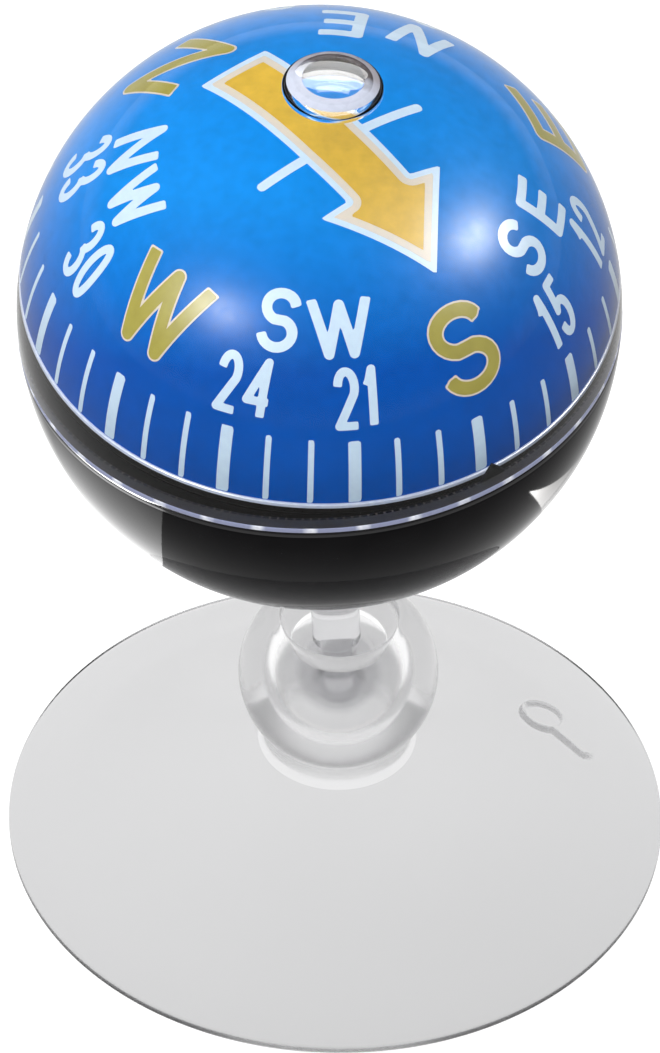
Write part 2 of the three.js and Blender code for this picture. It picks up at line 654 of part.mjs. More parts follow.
function floatBase() {
  const outside = dishSide(BASE_EDGE_RADIUS, BASE_DEPTH, BASE_TURN_IN).reverse();
  const inside = dishSide(BASE_EDGE_RADIUS - BASE_WALL, BASE_DEPTH - BASE_WALL, BASE_TURN_IN);
  const shoulder = PIVOT_RISE - TOWER_SHOULDER_DROP;
  const widening = TOWER_RADIUS - TOWER_TOP_RADIUS;
  const towerTop = PIVOT_RISE + TOWER_HEIGHT;
  const boreRadius = HOLDER_RADIUS + GAP;
  const ledge = PIVOT_RISE - HOLDER_FLANGE_TOP_DROP + GAP;
  const wellTop = PIVOT_RISE - WELL_CEILING_DROP;
  return turnedRing(
    [
      ...outside,
      ...inside,
      [TOWER_RADIUS, -BASE_FLOOR_DROP],
      [TOWER_RADIUS, shoulder - widening],
      [TOWER_TOP_RADIUS, shoulder],
      [TOWER_TOP_RADIUS, towerTop],
      [boreRadius, towerTop],
      [boreRadius, ledge],
      [FLANGE_RECESS_RADIUS, ledge],
      [FLANGE_RECESS_RADIUS, wellTop],
      [WELL_RADIUS, wellTop],
      [WELL_RADIUS, -BASE_FOOT_DROP],
    ],
    LARGE_FACETS,
  );
}

// Keeper: a bush in the mouth of the well, too narrow for the collar to pass
function keeperRing() {
  const outer = WELL_RADIUS - GAP;
  const flangeRadius = outer + KEEPER_FLANGE_WIDTH;
  const flangeTop = PIVOT_RISE - KEEPER_FOOT_DROP + KEEPER_FLANGE_THICKNESS;
  const foot = PIVOT_RISE - KEEPER_FOOT_DROP;
  const top = PIVOT_RISE - KEEPER_TOP_DROP;
  return turnedRing(
    [
      [KEEPER_FOOT_RADIUS, foot],
      [flangeRadius, foot],
      [flangeRadius, flangeTop],
      [outer, flangeTop],
      [outer, top],
      [KEEPER_TOP_RADIUS, top],
    ],
    MEDIUM_FACETS,
  );
}

function magnetCarrier() {
  const inner = CARRIER_BORE_RADIUS;
  const foot = GAP - BASE_FLOOR_DROP;
  const top = foot + CARRIER_THICKNESS;
  return turnedRing([[inner, foot], [CARRIER_RADIUS, foot], [CARRIER_RADIUS, top], [inner, top]], MEDIUM_FACETS);
}

// Bar magnet along the card's north to south line, on one side of the tower
function magnetBar(side) {
  const width = CARRIER_RING * MAGNET_WIDTH_SHARE;
  const nearSide = CARRIER_BORE_RADIUS + CARRIER_RING * MAGNET_INSET_SHARE;
  const length = 2 * chordHeight(CARRIER_RADIUS - MAGNET_EDGE_MARGIN, nearSide + width);
  const bar = new THREE.BoxGeometry(width, length, MAGNET_HEIGHT);
  const carrierTop = GAP - BASE_FLOOR_DROP + CARRIER_THICKNESS;
  bar.translate(side * (nearSide + width / 2), 0, carrierTop + GAP + MAGNET_HEIGHT / 2);
  return bar;
}

// Finishes: one new material for every mesh
const FINISHES = {
  clearVinyl: { color: 0xdfe2e2, roughness: 0.12, metalness: 0, transparent: true, opacity: 0.35 },
  clearPlastic: { color: 0xe9eeef, roughness: 0.06, metalness: 0, transparent: true, opacity: 0.3 },
  blackGloss: { color: 0x151518, roughness: 0.12, metalness: 0 },
  blackMatte: { color: 0x1d1a18, roughness: 0.5, metalness: 0 },
  paleGasket: { color: 0xd9dde4, roughness: 0.3, metalness: 0 },
  blackRubber: { color: 0x17171a, roughness: 0.7, metalness: 0 },
  cardBlue: { color: 0x0a6fdc, roughness: 0.35, metalness: 0 },
  rimWhite: { color: 0xe4e8f2, roughness: 0.35, metalness: 0 },
  polishedSteel: { color: 0xb9bcc0, roughness: 0.25, metalness: 1 },
  jewelRed: { color: 0x9c1f3a, roughness: 0.08, metalness: 0 },
  brass: { color: 0xc29a4b, roughness: 0.3, metalness: 1 },
  magnetGrey: { color: 0x55585c, roughness: 0.4, metalness: 0.8 },
};

function piece(name, geometry, finish) {
  const mesh = new THREE.Mesh(geometry, new THREE.MeshStandardMaterial(FINISHES[finish]));
  mesh.name = name;
  return mesh;
}

function group(height, ...children) {
  const holder = new THREE.Group();
  holder.position.z = height;
  holder.add(...children);
  return holder;
}

// Card and all that turns with it, set to the bearing that faces the front
const card = group(
  -PIVOT_RISE,
  piece("card_dome", cardDome(), "cardBlue"),
  piece("card_rim", cardRim(), "rimWhite"),
  piece("float_base", floatBase(), "blackMatte"),
  piece("keeper_ring", keeperRing(), "brass"),
  piece("magnet_carrier", magnetCarrier(), "blackMatte"),
  piece("magnet_bar_east", magnetBar(1), "magnetGrey"),
  piece("magnet_bar_west", magnetBar(-1), "magnetGrey"),
);
card.rotation.z = radians(FRONT_BEARING - 180);

// Float, level on the needle's tip whichever way the ball leans
const float = group(0, piece("jewel_holder", jewelHolder(), "brass"), card);
float.rotation.y = radians(REST_LEAN);

// Pivot, with the needle's tip at its origin
const pivot = group(
  PIVOT_RISE,
  piece("pivot_post", pivotPost(), "blackMatte"),
  piece("post_collar", postCollar(), "brass"),
  piece("pivot_needle", pivotNeedle(), "polishedSteel"),
  piece("jewel_bead", jewelBead(), "jewelRed"),
  float,
);

const plug = group(0, piece("fill_plug", fillPlug(), "blackRubber"));
plug.rotation.x = radians(FILL_TILT);

const pointer = group(0, piece("lubber_pointer", lubberPointer(), "blackMatte"));
pointer.rotation.z = radians(POINTER_TURN);

const ball = group(
  STEM_LENGTH + BALL_RADIUS,
  piece("upper_dome", upperDome(), "clearPlastic"),
  piece("seam_gasket", seamGasket(), "paleGasket"),
  piece("lower_bowl", lowerBowl(), "blackGloss"),
  plug,
  pointer,
  pivot,
);

// All that leans about the ball joint, centred in the knob
const leaning = group(
  0,
  piece("stem_bead", stemBead(), "clearPlastic"),
  piece("swivel_stem", swivelStem(), "clearPlastic"),
  ball,
);
leaning.rotation.y = -radians(REST_LEAN);

const joint = group(KNOB_CENTRE_HEIGHT, piece("socket_bush", socketBush(), "clearPlastic"), leaning);

const compass = new THREE.Group();
compass.add(piece("suction_cup", suctionCup(), "clearVinyl"), joint);

export default compass;
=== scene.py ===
import math

import bpy
import numpy as np
from mathutils import Matrix, Vector


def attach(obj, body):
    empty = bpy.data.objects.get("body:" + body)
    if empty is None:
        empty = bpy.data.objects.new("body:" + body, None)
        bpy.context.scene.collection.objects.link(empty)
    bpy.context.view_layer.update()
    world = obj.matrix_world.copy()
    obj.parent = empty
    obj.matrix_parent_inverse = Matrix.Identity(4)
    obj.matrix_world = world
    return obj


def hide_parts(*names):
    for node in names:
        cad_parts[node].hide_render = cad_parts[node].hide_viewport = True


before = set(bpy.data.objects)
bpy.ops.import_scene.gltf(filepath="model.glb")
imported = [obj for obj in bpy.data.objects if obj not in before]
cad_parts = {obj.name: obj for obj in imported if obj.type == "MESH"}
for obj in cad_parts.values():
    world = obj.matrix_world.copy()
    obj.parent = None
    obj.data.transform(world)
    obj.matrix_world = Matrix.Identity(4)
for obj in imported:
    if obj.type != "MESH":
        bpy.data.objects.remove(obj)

bl_info = {
    "name": "Car dashboard compass",
    "version": (1, 0, 0),
    "blender": (4, 5, 0),
    "location": "View3D > Sidebar > Compass",
    "description": "Ball compass on a clear suction cup, one operator for each piece",
    "category": "Object",
}

MM = 0.001

# Sizes in millimetres, the same as in the frame
KNOB_CENTRE_HEIGHT = 14.717
REST_LEAN = 3.0
STEM_LENGTH = 14.0
BALL_RADIUS = 20.5
DOME_WALL = 1.3
PIVOT_RISE = 1.0
FRONT_BEARING = 219.2
CUP_RADIUS = 22.5
LIP_THICKNESS = 0.8
LIP_ROUND = 0.25
SHOULDER_HEIGHT = 8.8
CROWN_THICKNESS = 3.0
BELL_POWER = 1.25
SEAL_WIDTH = 2.6
NECK_RADIUS = 5.15
NECK_FILLET = 1.0
KNOB_RADIUS = 6.85
MOUTH_DROP = 0.12
SOCKET_RADIUS = 4.4
BUSH_RADIUS = 4.1
BUSH_BORE = 3.0
BEAD_RADIUS = 2.7
PIN_RADIUS = 1.0
STEM_NECK_RADIUS = 1.65
STEM_BODY_RADIUS = 3.0
FLANGE_RADIUS = 4.8
FLANGE_THICKNESS = 0.9
CARD_RADIUS = 16.15
CARD_CROWN = 14.1
CARD_EDGE = -1.2
CARD_FULLNESS = 2.3
CARD_WALL = 0.8

CLEARANCE = 0.3
TILT_LIMIT = math.radians(15.0)
WHITE = (1.0, 1.0, 1.0, 1.0)

LEAN = math.radians(REST_LEAN)
AXIS = np.array([-math.sin(LEAN), 0.0, math.cos(LEAN)])
KNOB_CENTRE = np.array([0.0, 0.0, KNOB_CENTRE_HEIGHT])
BALL_CENTRE = KNOB_CENTRE + (STEM_LENGTH + BALL_RADIUS) * AXIS
FLOAT_CENTRE = BALL_CENTRE + PIVOT_RISE * AXIS - np.array([0.0, 0.0, PIVOT_RISE])


# Places: where a shape drawn about its own axis stands in the frame

def leaning(centre):
    """Place for a shape on the leaning axis: turned 3 degrees about Y, then moved to the centre."""
    turn = np.array([
        [math.cos(LEAN), 0.0, -math.sin(LEAN)],
        [0.0, 1.0, 0.0],
        [math.sin(LEAN), 0.0, math.cos(LEAN)],
    ])
    return lambda points: points @ turn.T + centre


def level(centre):
    """Place for a level shape: only moved to the centre."""
    return lambda points: points + centre


# Profiles: arrays of [radius, height] rows, outside from foot to top, inside from top to foot

def corner(centre_radius, centre_height, rounding, start, stop, count=7):
    """Rows (r + q cos t, h + q sin t) of a rounding about a point, t from start to stop in degrees."""
    turn = np.radians(np.linspace(start, stop, count))
    return np.stack([
        centre_radius + rounding * np.cos(turn),
        centre_height + rounding * np.sin(turn),
    ], axis=1)


def arc(radius, start, stop, count, centre=0.0):
    """Rows of a circle about a point on the axis, angles in degrees."""
    rows = corner(0.0, centre, radius, start, stop, count)
    rows[:, 0] = np.maximum(rows[:, 0], 0.0)
    return rows


def slope(start, end, count=15):
    """Rows from one [radius, height] to another, the radius eased by half a cosine wave."""
    share = np.linspace(0.0, 1.0, count)
    ease = (1.0 - np.cos(math.pi * share)) / 2.0
    return np.stack([
        start[0] + (end[0] - start[0]) * ease,
        start[1] + (end[1] - start[1]) * share,
    ], axis=1)


def chord(sphere_radius, other):
    """Height of the plane where a sphere's section has the given radius, or the reverse."""
    return math.sqrt(sphere_radius ** 2 - other ** 2)


def turned(profile, angles):
    """Grid of points (r cos a, r sin a, h): a profile turned by angles, or by a number of even steps."""
    if np.isscalar(angles):
        angles = np.linspace(0.0, 2.0 * math.pi, angles, endpoint=False)
    radius, height = profile[:, :1], profile[:, 1:]
    return np.stack([
        radius * np.cos(angles),
        radius * np.sin(angles),
        np.broadcast_to(height, (len(profile), len(angles))),
    ], axis=2)


def skin(grid, closed=False):
    """Vertices and faces of a grid that closes round its columns, and round its rows if closed.
    A row whose points are all one point becomes a pole."""
    rows, columns = grid.shape[:2]
    index = np.arange(rows * columns).reshape(rows, columns)
    poles = np.ptp(grid, axis=1).max(axis=1) < 1e-9
    index[poles] = index[poles, :1]
    index = np.hstack([index, index[:, :1]])
    if closed:
        index = np.vstack([index, index[:1]])
    faces = np.stack([index[:-1, :-1], index[:-1, 1:], index[1:, 1:], index[1:, :-1]], axis=-1)
    used, flat = np.unique(faces.reshape(-1, 4), return_inverse=True)
    faces = [list(dict.fromkeys(face)) for face in flat.reshape(-1, 4).tolist()]
    return grid.reshape(-1, 3)[used], faces


def add_mesh(name, points, faces, materials, face_material=None, smooth=40.0):
    """Mesh object from points in millimetres, shaded smooth but for edges over the given angle."""
    mesh = bpy.data.meshes.new(name)
    mesh.from_pydata((np.asarray(points) * MM).tolist(), [], faces)
    for material in materials:
        mesh.materials.append(material)
    if face_material is not None:
        mesh.polygons.foreach_set("material_index", np.asarray(face_material, dtype=np.int32))
    mesh.shade_smooth()
    mesh.set_sharp_from_angle(angle=math.radians(smooth))
    mesh.update()
    piece = bpy.data.objects.new(name, mesh)
    bpy.context.scene.collection.objects.link(piece)
    return piece


def add_piece(name, points, faces, materials, body, slot, stands_for=(), face_material=None, smooth=40.0):
    """Adds a mesh, lets it ride on its body and stand for its CAD nodes."""
    piece = add_mesh(name, points, faces, materials, face_material, smooth)
    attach(piece, body)
    if stands_for:
        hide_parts(*stands_for)


def add_turned(name, profile, place, materials, body, slot, stands_for, columns, closed=False, bands=None):
    """Adds a piece turned from a profile; bands give each row of faces its material."""
    points, faces = skin(turned(profile, columns), closed)
    face_material = None if bands is None else np.repeat(bands, columns)
    add_piece(name, place(points), faces, materials, body, slot, stands_for, face_material)


# Shader helpers

class Wire:
    """One value in a node tree; arithmetic on it adds Math nodes."""

    def __init__(self, tree, socket):
        self.tree = tree
        self.socket = socket

    def math(self, operation, *others):
        """Adds a Math node that works on this value and the others."""
        node = self.tree.nodes.new("ShaderNodeMath")
        node.operation = operation
        for slot, value in zip(node.inputs, (self, *others)):
            plug(self.tree, slot, value)
        return Wire(self.tree, node.outputs[0])

    def __add__(self, other):
        return self.math("ADD", other)

    def __mul__(self, other):
        return self.math("MULTIPLY", other)

    def __sub__(self, other):
        return self.math("SUBTRACT", other)

    def __rsub__(self, other):
        return (self * -1.0) + other

    __radd__ = __add__
    __rmul__ = __mul__


def plug(tree, socket, value):
    """Links a wire into a socket, or sets the socket's own value."""
    if isinstance(value, Wire):
        tree.links.new(value.socket, socket)
    else:
        socket.default_value = value


class Shader:
    """A material's or world's node tree, built by short calls."""

    def __init__(self, tree):
        self.tree = tree
        tree.nodes.clear()

    def node(self, kind, settings=None, inputs=None, output=0):
        """Adds a node of a type, sets its settings, then its sockets, and gives one output, or several."""
        node = self.tree.nodes.new("ShaderNode" + kind)
        for key, value in (settings or {}).items():
            setattr(node, key, value)
        for key, value in (inputs or {}).items():
            plug(self.tree, node.inputs[key], value)
        if isinstance(output, tuple):
            return [Wire(self.tree, node.outputs[key]) for key in output]
        return Wire(self.tree, node.outputs[output])

    def position(self):
        """Object coordinates in millimetres."""
        place = self.node("TexCoord", output="Object")
        return self.node("VectorMath", {"operation": "SCALE"}, {"Vector": place, "Scale": 1000.0})

    def noise(self, place, scale, detail=2.0, roughness=0.5):
        """Cloudy value from 0 to 1, with scale waves to a millimetre."""
        return self.node("TexNoise", inputs={
            "Vector": place, "Scale": scale, "Detail": detail, "Roughness": roughness})

    def span(self, value, low, high, start=0.0, end=1.0):
        """The value between low and high, spread from start to end and held there."""
        return self.node("MapRange", inputs={
            "Value": value, "From Min": low, "From Max": high, "To Min": start, "To Max": end})

    def reflection_stripes(self, place, centre, count, low, high):
        """Stripes from 0 to 1 round the upright line through a centre: cos(count t) between low and high."""
        middle = self.node("VectorMath", {"operation": "SUBTRACT"}, {0: place, 1: tuple(centre)})
        x, y = self.node("SeparateXYZ", inputs={"Vector": middle}, output=("X", "Y"))
        turn = x.math("ARCTAN2", y * -1.0) - math.radians(FRONT_BEARING)
        return self.span((turn * float(count)).math("COSINE"), low, high)

    def bump(self, height, strength, distance):
        """Normal tilted by the slope of a height that spans the distance in millimetres."""
        return self.node("Bump", inputs={
            "Height": height, "Strength": strength, "Distance": distance * MM})

    def surface(self, shader, kind="OutputMaterial"):
        """Gives the shader to the tree's output."""
        output = self.tree.nodes.new("ShaderNode" + kind)
        plug(self.tree, output.inputs["Surface"], shader)


def mix_color(shader, factor, first, second):
    """Mix of two colours by a factor: first + (second - first) factor.
    Sockets 6 and 7 of the Mix node and its output 2 are the ones for colours."""
    return shader.node("Mix", {"data_type": "RGBA"}, {0: factor, 6: first, 7: second}, 2)


def new_material(name):
    """A material and the shader of its node tree."""
    material = bpy.data.materials.new(name)
    material.use_nodes = True
    return material, Shader(material.node_tree)


def linear(red, green, blue):
    """Scene colour of a colour written as 0 to 255 sRGB."""
    values = []
    for part in (red, green, blue):
        share = part / 255.0
        values.append(share / 12.92 if share <= 0.04045 else ((share + 0.055) / 1.055) ** 2.4)
    return (*values, 1.0)


def principled(name, colour, other, roughness, grain, gloss=0.5, metallic=0.0, bump=0.0):
    """Moulded or turned finish: colour drifts towards the other by fine noise, roughness and bump follow it."""
    material, shader = new_material(name)
    place = shader.position()
    fine = shader.noise(place, grain, 3.0)
    broad = shader.noise(place, grain * 0.17, 2.0)
    drift = shader.span(fine * 0.6 + broad * 0.4, 0.25, 0.75)
    inputs = {
        "Base Color": mix_color(shader, drift, colour, other),
        "Roughness": shader.span(broad, 0.3, 0.7, roughness * 0.85, roughness * 1.15),
        "Metallic": metallic,
        "Specular IOR Level": gloss,
    }
    if bump:
        inputs["Normal"] = shader.bump(fine, bump, 0.05)
    shader.surface(shader.node("BsdfPrincipled", inputs=inputs))
    return material


def see_through(shader, glass, tint):
    """Glass that lets shadow and diffuse rays pass straight, so lamps light what is behind it."""
    shadow, diffuse = shader.node("LightPath", output=("Is Shadow Ray", "Is Diffuse Ray"))
    clear = shader.node("BsdfTransparent", inputs={"Color": tint})
    return shader.node("MixShader", inputs={0: shadow.math("MAXIMUM", diffuse), 1: glass, 2: clear})


def clear_material(name, tint, index, roughness=0.0, ripple=0.0, grain=0.6, mirror=1.0):
    """Clear moulding of one refractive index, with a faint ripple; mirror scales its straight-on reflection."""
    material, shader = new_material(name)
    inputs = {"Roughness": roughness, "IOR": index}
    if ripple:
        inputs["Normal"] = shader.bump(shader.noise(shader.position(), grain, 2.0), 1.0, ripple)
    if mirror < 1.0:
        inputs.update({"Base Color": tint, "Transmission Weight": 1.0, "Specular Tint": (mirror,) * 3 + (1.0,)})
        glass = shader.node("BsdfPrincipled", inputs=inputs)
    else:
        glass = shader.node("BsdfGlass", inputs={"Color": tint, **inputs})
    shader.surface(see_through(shader, glass, tint))
    return material


def pass_material(name):
    """Inner wall of the filled ball: the liquid matches the plastic, so light passes straight."""
    material, shader = new_material(name)
    shader.surface(shader.node("BsdfTransparent", inputs={"Color": WHITE}))
    return material


def film_material(name, colour, other, alpha):
    """Thin clear moulding that lets most light pass straight, with a faint cloud in its tone."""
    material, shader = new_material(name)
    cloud = shader.noise(shader.position(), 0.9, 3.0)
    shader.surface(shader.node("BsdfPrincipled", inputs={
        "Base Color": mix_color(shader, shader.span(cloud, 0.35, 0.65), colour, other),
        "Roughness": shader.span(cloud, 0.3, 0.7, 0.1, 0.2),
        "Alpha": alpha,
    }))
    return material


def black_gloss():
    """Glossy black moulding: near black, with a faint haze of fine dust in its roughness."""
    material, shader = new_material("black_gloss")
    place = shader.position()
    haze = shader.noise(place, 0.35, 4.0)
    dust = shader.noise(place, 9.0, 2.0)
    colour = mix_color(shader, shader.span(haze, 0.35, 0.65), linear(7, 6, 8), linear(13, 12, 14))
    shader.surface(shader.node("BsdfPrincipled", inputs={
        "Base Color": colour,
        "Roughness": shader.span(haze * 0.7 + dust * 0.3, 0.4, 0.65, 0.03, 0.09),
        "Specular IOR Level": 0.03,
        "Normal": shader.bump(dust, 0.02, 0.02),
    }))
    return material


def reflection_striped_material(name, stripe_dark, stripe_bright, count, low, high, grain, gloss=0.5):
    """Ring finish with stripes across it, which fine noise makes uneven."""
    material, shader = new_material(name)
    place = shader.position()
    speck = shader.noise(place, grain, 3.0)
    stripe = shader.reflection_stripes(place, BALL_CENTRE, count, low, high) * shader.span(speck, 0.3, 0.62, 0.35, 1.0)
    shader.surface(shader.node("BsdfPrincipled", inputs={
        "Base Color": mix_color(shader, stripe, stripe_dark, stripe_bright),
        "Roughness": shader.span(speck, 0.3, 0.7, 0.35, 0.25),
        "Specular IOR Level": gloss,
    }))
    return material


def card_blue(settings):
    """Printed blue card, satin and faintly mottled: deep blue at its edge, lighter on its crown and back."""
    material, shader = new_material("card_blue")
    place = shader.position()
    mottle = shader.noise(place, 1.1, 4.0, 0.6)
    broad = shader.noise(place, 0.12, 1.0)
    # Painted shade and light: the blue is mixed along a slant up and back, darker at the edge and lighter where
    # light falls on the crown.
    middle = shader.node("VectorMath", {"operation": "SUBTRACT"}, {0: place, 1: tuple(FLOAT_CENTRE)})
    height = shader.node(
        "VectorMath", {"operation": "DOT_PRODUCT"}, {0: middle, 1: (-0.06, 0.5, 0.86)}, "Value")
    edge, crown = [tuple(colour) + (1.0,) for colour in (settings.shaded_edge_blue, settings.lit_crown_blue)]
    blue = mix_color(shader, shader.span(height, -0.5, 9.0), edge, crown)
    drift = shader.span(mottle * 0.6 + broad * 0.4, 0.35, 0.65, 0.86, 1.04)
    tone = shader.node("VectorMath", {"operation": "SCALE"}, {"Vector": blue, "Scale": drift})
    shader.surface(shader.node("BsdfPrincipled", inputs={
        "Base Color": tone,
        "Roughness": shader.span(mottle, 0.3, 0.7, 0.31, 0.36),
        "Specular IOR Level": 0.03,
        "Normal": shader.bump(mottle, 0.06, 0.02),
    }))
    return material


# Printing: marks are flat regions, cut out of a square grid and then laid on the card

def box_distance(x, y, start, end, half):
    """Signed distance to a bar with square ends between two points."""
    run = np.hypot(end[0] - start[0], end[1] - start[1])
    ux, uy = (end[0] - start[0]) / run, (end[1] - start[1]) / run
    along = (x - start[0]) * ux + (y - start[1]) * uy - run / 2.0
    across = (y - start[1]) * ux - (x - start[0]) * uy
    outside_x, outside_y = np.abs(along) - run / 2.0, np.abs(across) - half
    return np.hypot(np.maximum(outside_x, 0.0), np.maximum(outside_y, 0.0)) + np.minimum(
        np.maximum(outside_x, outside_y), 0.0)


def stroke_distance(x, y, strokes, half, rounding):
    """Signed distance to strokes of one width with square ends and round inner joints."""
    inner = half - rounding
    best = np.full(x.shape, 1e9)
    for stroke in strokes:
        stroke = np.asarray(stroke, dtype=float)
        for start, end in zip(stroke[:-1], stroke[1:]):
            best = np.minimum(best, box_distance(x, y, start, end, inner))
        for joint in stroke[1:-1]:
            best = np.minimum(best, np.hypot(x - joint[0], y - joint[1]) - inner)
    return best - rounding


def polygon_distance(x, y, corners):
    """Signed distance to a closed polygon, less than 0 inside."""
    corners = np.asarray(corners, dtype=float)
    best = np.full(x.shape, 1e9)
    inside = np.zeros(x.shape, dtype=bool)
    for start, end in zip(corners, np.roll(corners, -1, axis=0)):
        edge = end - start
        share = np.clip(((x - start[0]) * edge[0] + (y - start[1]) * edge[1]) / (edge @ edge), 0.0, 1.0)
        best = np.minimum(best, np.hypot(x - start[0] - share * edge[0], y - start[1] - share * edge[1]))
        if edge[1]:
            crossing = start[0] + (y - start[1]) * edge[0] / edge[1]
            inside ^= ((start[1] <= y) != (end[1] <= y)) & (x < crossing)
    return np.where(inside, -best, best)


def cut_region(distance, low, high, cell):
    """Points and faces of the region where the distance is under 0, cut out of a square grid.
    A cell on the border is cut along the straight line between the two zero points of its sides."""
    columns = max(int(math.ceil((high[0] - low[0]) / cell)), 2)
    rows = max(int(math.ceil((high[1] - low[1]) / cell)), 2)
    xs = low[0] + np.arange(columns + 1) * cell
    ys = low[1] + np.arange(rows + 1) * cell
    x, y = np.meshgrid(xs, ys)
    field = distance(x, y)
    field = np.where(np.abs(field) < cell * 0.02, -cell * 0.02, field)
    inside = field < 0.0
    points, faces, known = [], [], {}

    def point(key, place):
        if key not in known:
            known[key] = len(points)
            points.append(place)
        return known[key]

    count = inside[:-1, :-1].astype(int) + inside[:-1, 1:] + inside[1:, :-1] + inside[1:, 1:]
    for row, column in np.argwhere(count > 0):
        ring = ((row, column), (row, column + 1), (row + 1, column + 1), (row + 1, column))
        face = []
        for here, there in zip(ring, ring[1:] + ring[:1]):
            if inside[here]:
                face.append(point(here, (x[here], y[here])))
            if inside[here] != inside[there]:
                share = field[here] / (field[here] - field[there])
                place = (x[here] + (x[there] - x[here]) * share, y[here] + (y[there] - y[here]) * share)
                face.append(point((min(here, there), max(here, there)), place))
        if len(face) > 2:
            faces.append(face)
    return np.array(points), faces


def card_profile(side, crown, count):
    """Rows of (r / side) ** n + (h / crown) ** n = 1, from the edge to the crown."""
    turn = np.linspace(0.0, math.pi / 2.0, count)
    radius = side * np.maximum(np.cos(turn), 0.0) ** (2.0 / CARD_FULLNESS)
    radius[-1] = 0.0
    return np.stack([radius, crown * np.sin(turn) ** (2.0 / CARD_FULLNESS) + CARD_EDGE], axis=1)


OUTLINE_RADIUS, OUTLINE_HEIGHT = card_profile(CARD_RADIUS, CARD_CROWN, 4001).T
OUTLINE_LENGTH = np.concatenate([[0.0], np.cumsum(np.hypot(np.diff(OUTLINE_RADIUS), np.diff(OUTLINE_HEIGHT)))])


def card_height(radius):
    """Height of the card's outside at a radius."""
    return np.interp(radius, OUTLINE_RADIUS[::-1], OUTLINE_HEIGHT[::-1])


def on_card(radius, height, bearing, lift):
    """Point of the card at a bearing, raised along the surface's normal; bearings run clockwise from above."""
    side = np.maximum(radius, 1e-6) / CARD_RADIUS
    rise = np.maximum(height - CARD_EDGE, 1e-6) / CARD_CROWN
    out = side ** (CARD_FULLNESS - 1.0) / CARD_RADIUS
    up = rise ** (CARD_FULLNESS - 1.0) / CARD_CROWN
    size = np.hypot(out, up)
    radius = radius + lift * out / size
    height = height + lift * up / size
    turn = np.radians(FRONT_BEARING - bearing)
    return np.stack([radius * np.sin(turn), -radius * np.cos(turn), height], axis=1)


def wrap(centre, foot):
    """Lays a flat mark on the card: across turns it round the axis, up runs along the outline."""
    def lay(flat, lift):
        length = np.clip(foot + flat[:, 1], 0.0, OUTLINE_LENGTH[-1])
        radius = np.interp(length, OUTLINE_LENGTH, OUTLINE_RADIUS)
        height = np.interp(length, OUTLINE_LENGTH, OUTLINE_HEIGHT)
        return on_card(radius, height, centre - np.degrees(flat[:, 0] / radius), lift)
    return lay


def project(flat, lift):
    """Lays a flat mark drawn in plan, x to the east and y to the north, straight down on the card."""
    radius = np.hypot(flat[:, 0], flat[:, 1])
    bearing = np.degrees(np.arctan2(flat[:, 0], flat[:, 1]))
    return on_card(radius, card_height(radius), bearing, lift)


class Film:
    """Gathers the closed films of one ink into one mesh."""

    def __init__(self):
        self.points, self.faces, self.count = [], [], 0

    def add(self, region, lay, lifts):
        """Lays a flat region on the card between two lifts: its underside, its top and its edge."""
        flat, faces = region
        foot, top = lifts
        edges = {pair for face in faces for pair in zip(face, face[1:] + face[:1])}
        upper, lower = self.count, self.count + len(flat)
        for face in faces:
            self.faces.append([index + upper for index in face])
            self.faces.append([index + lower for index in face[::-1]])
        for a, b in sorted(edges):
            if (b, a) not in edges:
                self.faces.append([b + upper, a + upper, a + lower, b + lower])
        self.points += [lay(flat, top), lay(flat, foot)]
        self.count += 2 * len(flat)

    def piece(self, name, material, slot):
        """Adds the gathered films as one piece that rides on the card."""
        points = level(FLOAT_CENTRE)(np.concatenate(self.points))
        add_piece(name, points, self.faces, [material], "card", slot, smooth=60.0)


def bow(centre_x, centre_y, radius_x, radius_y, start, stop, count=17):
    """Points of an elliptical arc, angles in degrees."""
    turn = np.radians(np.linspace(start, stop, count))
    return np.stack([centre_x + radius_x * np.cos(turn), centre_y + radius_y * np.sin(turn)], axis=1).tolist()


# Glyphs as strokes in a box from 0 to 1 each way
GLYPHS = {
    "0": [bow(0.5, 0.5, 0.5, 0.5, 90, 450, 33)],
    "1": [[(0.0, 0.74), (0.2, 0.8), (0.55, 1.0), (0.55, 0.0)]],
    "2": [bow(0.5, 0.72, 0.48, 0.28, 172, -28) + [(0.0, 0.0), (1.0, 0.0)]],
    "3": [bow(0.46, 0.76, 0.46, 0.24, 165, -80), bow(0.47, 0.26, 0.53, 0.26, 88, -165)],
    "4": [[(0.76, 0.0), (0.76, 1.0), (0.0, 0.27), (1.0, 0.27)]],
    "5": [[(0.92, 1.0), (0.18, 1.0), (0.06, 0.5)] + bow(0.47, 0.31, 0.53, 0.31, 138, -162)],
    "6": [bow(0.52, 0.62, 0.5, 0.38, 28, 180) + bow(0.5, 0.31, 0.5, 0.31, 180, 538, 33)],
    "N": [[(0.0, 0.0), (0.0, 1.0), (1.0, 0.0), (1.0, 1.0)]],
    "E": [[(1.0, 0.0), (0.0, 0.0), (0.0, 1.0), (1.0, 1.0)], [(0.0, 0.52), (0.9, 0.52)]],
    "S": [bow(0.5, 0.745, 0.47, 0.255, 15, 250) + bow(0.5, 0.26, 0.5, 0.26, 68, -165)],
    "W": [[(0.0, 1.0), (0.26, 0.0), (0.5, 0.94), (0.74, 0.0), (1.0, 1.0)]],
}

# Text, bearing of its middle, foot and height along the outline in millimetres
NUMBERS = [
    ("3", 30.0, 5.2, 4.2), ("6", 60.0, 4.6, 4.2), ("12", 121.3, 3.5, 4.35), ("15", 148.9, 4.1, 4.2),
    ("21", 209.1, 5.4, 4.1), ("24", 237.5, 5.75, 4.05), ("30", 296.3, 6.0, 4.3), ("33", 324.8, 6.4, 4.3),
]
DIGIT_WIDTHS = {"1": 1.1, "4": 1.85}
OTHER_DIGIT_WIDTH = 1.64
DIGIT_PITCH = 0.24

